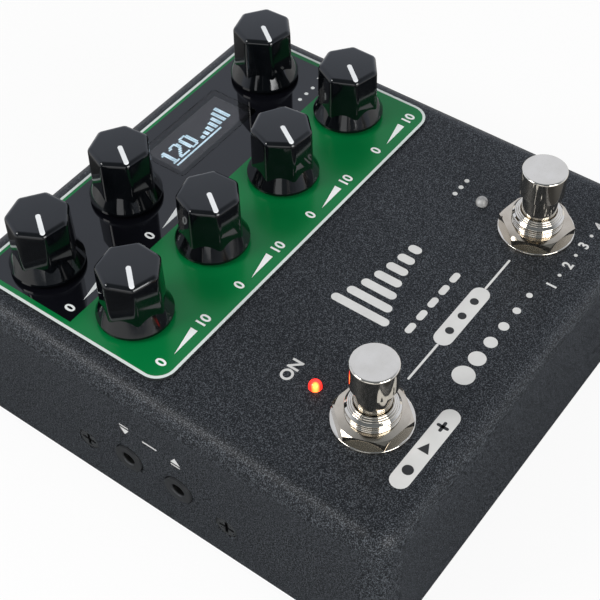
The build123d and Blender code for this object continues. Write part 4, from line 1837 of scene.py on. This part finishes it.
@dataclass
class Studio:
    """White floor and surround, soft lamps and the camera."""

    floor_half: float = 2.0
    floor_drop: float = 0.2 * MM
    floor_colour: Colour = (0.86, 0.86, 0.86)
    floor_mirror: Colour = (0.05, 0.05, 0.05)
    shade_r: Span = (0.11, 0.26)
    floor_white: float = 0.90
    ambient: Colour = (0.592, 0.592, 0.592)
    plain_white: Colour = (1.0, 1.0, 1.0)
    mirror_bright: Colour = (0.81, 0.87, 1.0)
    mirror_dark: Colour = (0.16, 0.18, 0.20)
    mirror_turn: Span = (0.18, 0.72)
    camera_place: Place = (-175.27 * MM, -131.68 * MM, 274.10 * MM)
    azimuth: float = -52.501
    elevation: float = 48.981
    roll: float = -1.461
    lens: float = 81.235
    nearest: float = 0.01
    lamps: tuple[Lamp, ...] = (
        Lamp("key_softbox", (-0.62, 0.42, 0.66), (0.36, 0.3), 3.8),
        Lamp("front_softbox", (-0.25, -0.88, 0.36), (0.6, 0.4), 6.0),
        Lamp("left_softbox", (-0.85, -0.25, 0.22), (0.5, 0.3), 0.6),
    )

    def build(self) -> None:
        """Build floor, world, lamps and camera."""
        self.floor()
        self.world()
        target = (CAD_BOX[0] + CAD_BOX[1]) / 2
        for lamp in self.lamps:
            lamp.build(target)
        self.camera()
        bpy.context.scene.view_settings.view_transform = "Standard"

    def floor(self) -> None:
        """Plain pale floor that keeps the pedal's shadow and looks nearly white.

        In reflections it is white too, apart from a shaded patch round the pedal.
        """
        half = self.floor_half
        z = CAD_BOX[0].z - self.floor_drop
        corners = [(-half, -half, z), (half, -half, z), (half, half, z), (-half, half, z)]
        mesh = bpy.data.meshes.new("floor")
        mesh.from_pydata(corners, [], [(0, 1, 2, 3)])
        material = bpy.data.materials.new("studio_floor")
        material.use_nodes = True
        desk = ShaderDesk(material.node_tree)
        rays = desk.add("ShaderNodeLightPath").outputs
        shown = desk.blend(rays["Is Glossy Ray"], rgba(self.floor_colour), rgba(self.floor_mirror))
        matt = desk.add("ShaderNodeBsdfDiffuse", Color=shown)
        white = desk.add("ShaderNodeEmission")
        beyond = desk.span(desk.away(desk.position(), (0.0, 0.0)), *self.shade_r)
        mirrored = desk.sum("MULTIPLY", rays["Is Glossy Ray"], beyond)
        seen = desk.sum("MAXIMUM", rays["Is Camera Ray"], rays["Is Transmission Ray"])
        seen = desk.sum("MAXIMUM", seen, mirrored)
        share = desk.sum("MULTIPLY", seen, self.floor_white)
        desk.close(desk.merge(share, matt.outputs[0], white.outputs[0]))
        mesh.materials.append(material)
        floor = bpy.data.objects.new("studio_floor", mesh)
        link(floor)

    def world(self) -> None:
        """White surround for the eye and for glass, even light, and a dark side in reflections."""
        world = bpy.data.worlds.new("studio")
        world.use_nodes = True
        desk = ShaderDesk(world.node_tree)
        way = desk.add("ShaderNodeTexCoord").outputs["Generated"]
        towards = desk.add("ShaderNodeVectorMath", {"operation": "DOT_PRODUCT"})
        desk.feed(towards.inputs[0], way)
        desk.feed(towards.inputs[1], self.back())
        share = desk.span(towards.outputs["Value"], *self.mirror_turn)
        sides = desk.blend(share, rgba(self.mirror_bright), rgba(self.mirror_dark))
        light, mirror, white = (
            desk.add("ShaderNodeBackground", Color=colour).outputs[0]
            for colour in (rgba(self.ambient), sides, rgba(self.plain_white))
        )
        rays = desk.add("ShaderNodeLightPath").outputs
        shader = desk.merge(rays["Is Glossy Ray"], light, mirror)
        shader = desk.merge(rays["Is Transmission Ray"], shader, white)
        shader = desk.merge(rays["Is Camera Ray"], shader, white)
        desk.add("ShaderNodeOutputWorld", Surface=shader)
        bpy.context.scene.world = world

    def back(self) -> Vector:
        """Direction from the pedal to the camera.

        Returns:
            A vector of length one.
        """
        turn, tilt = math.radians(self.azimuth), math.radians(self.elevation)
        level = math.cos(tilt)
        return Vector((math.sin(turn) * level, -math.cos(turn) * level, math.sin(tilt)))

    def camera(self) -> None:
        """Camera at the photograph's viewing angle."""
        data = bpy.data.cameras.new("camera")
        data.lens = self.lens
        data.clip_start = self.nearest
        camera = bpy.data.objects.new("camera", data)
        link(camera)
        camera.location = self.camera_place
        camera.rotation_mode = "QUATERNION"
        level = (-self.back()).to_track_quat("-Z", "Y")
        camera.rotation_quaternion = level @ Quaternion((0.0, 0.0, 1.0), math.radians(self.roll))
        bpy.context.scene.camera = camera


def main() -> None:
    """Build every sub-assembly in order."""
    logging.basicConfig(level=logging.INFO, format="%(name)s %(message)s")
    Studio().build()
    for assembly in (
        CaseShell(),
        ControlPanel(),
        DisplayUnit(),
        SwitchGear(),
        TopPrint(),
        SideSockets(),
        BackSockets(),
        Electronics(),
    ):
        assembly.dress()


if __name__ == "__main__":
    main()
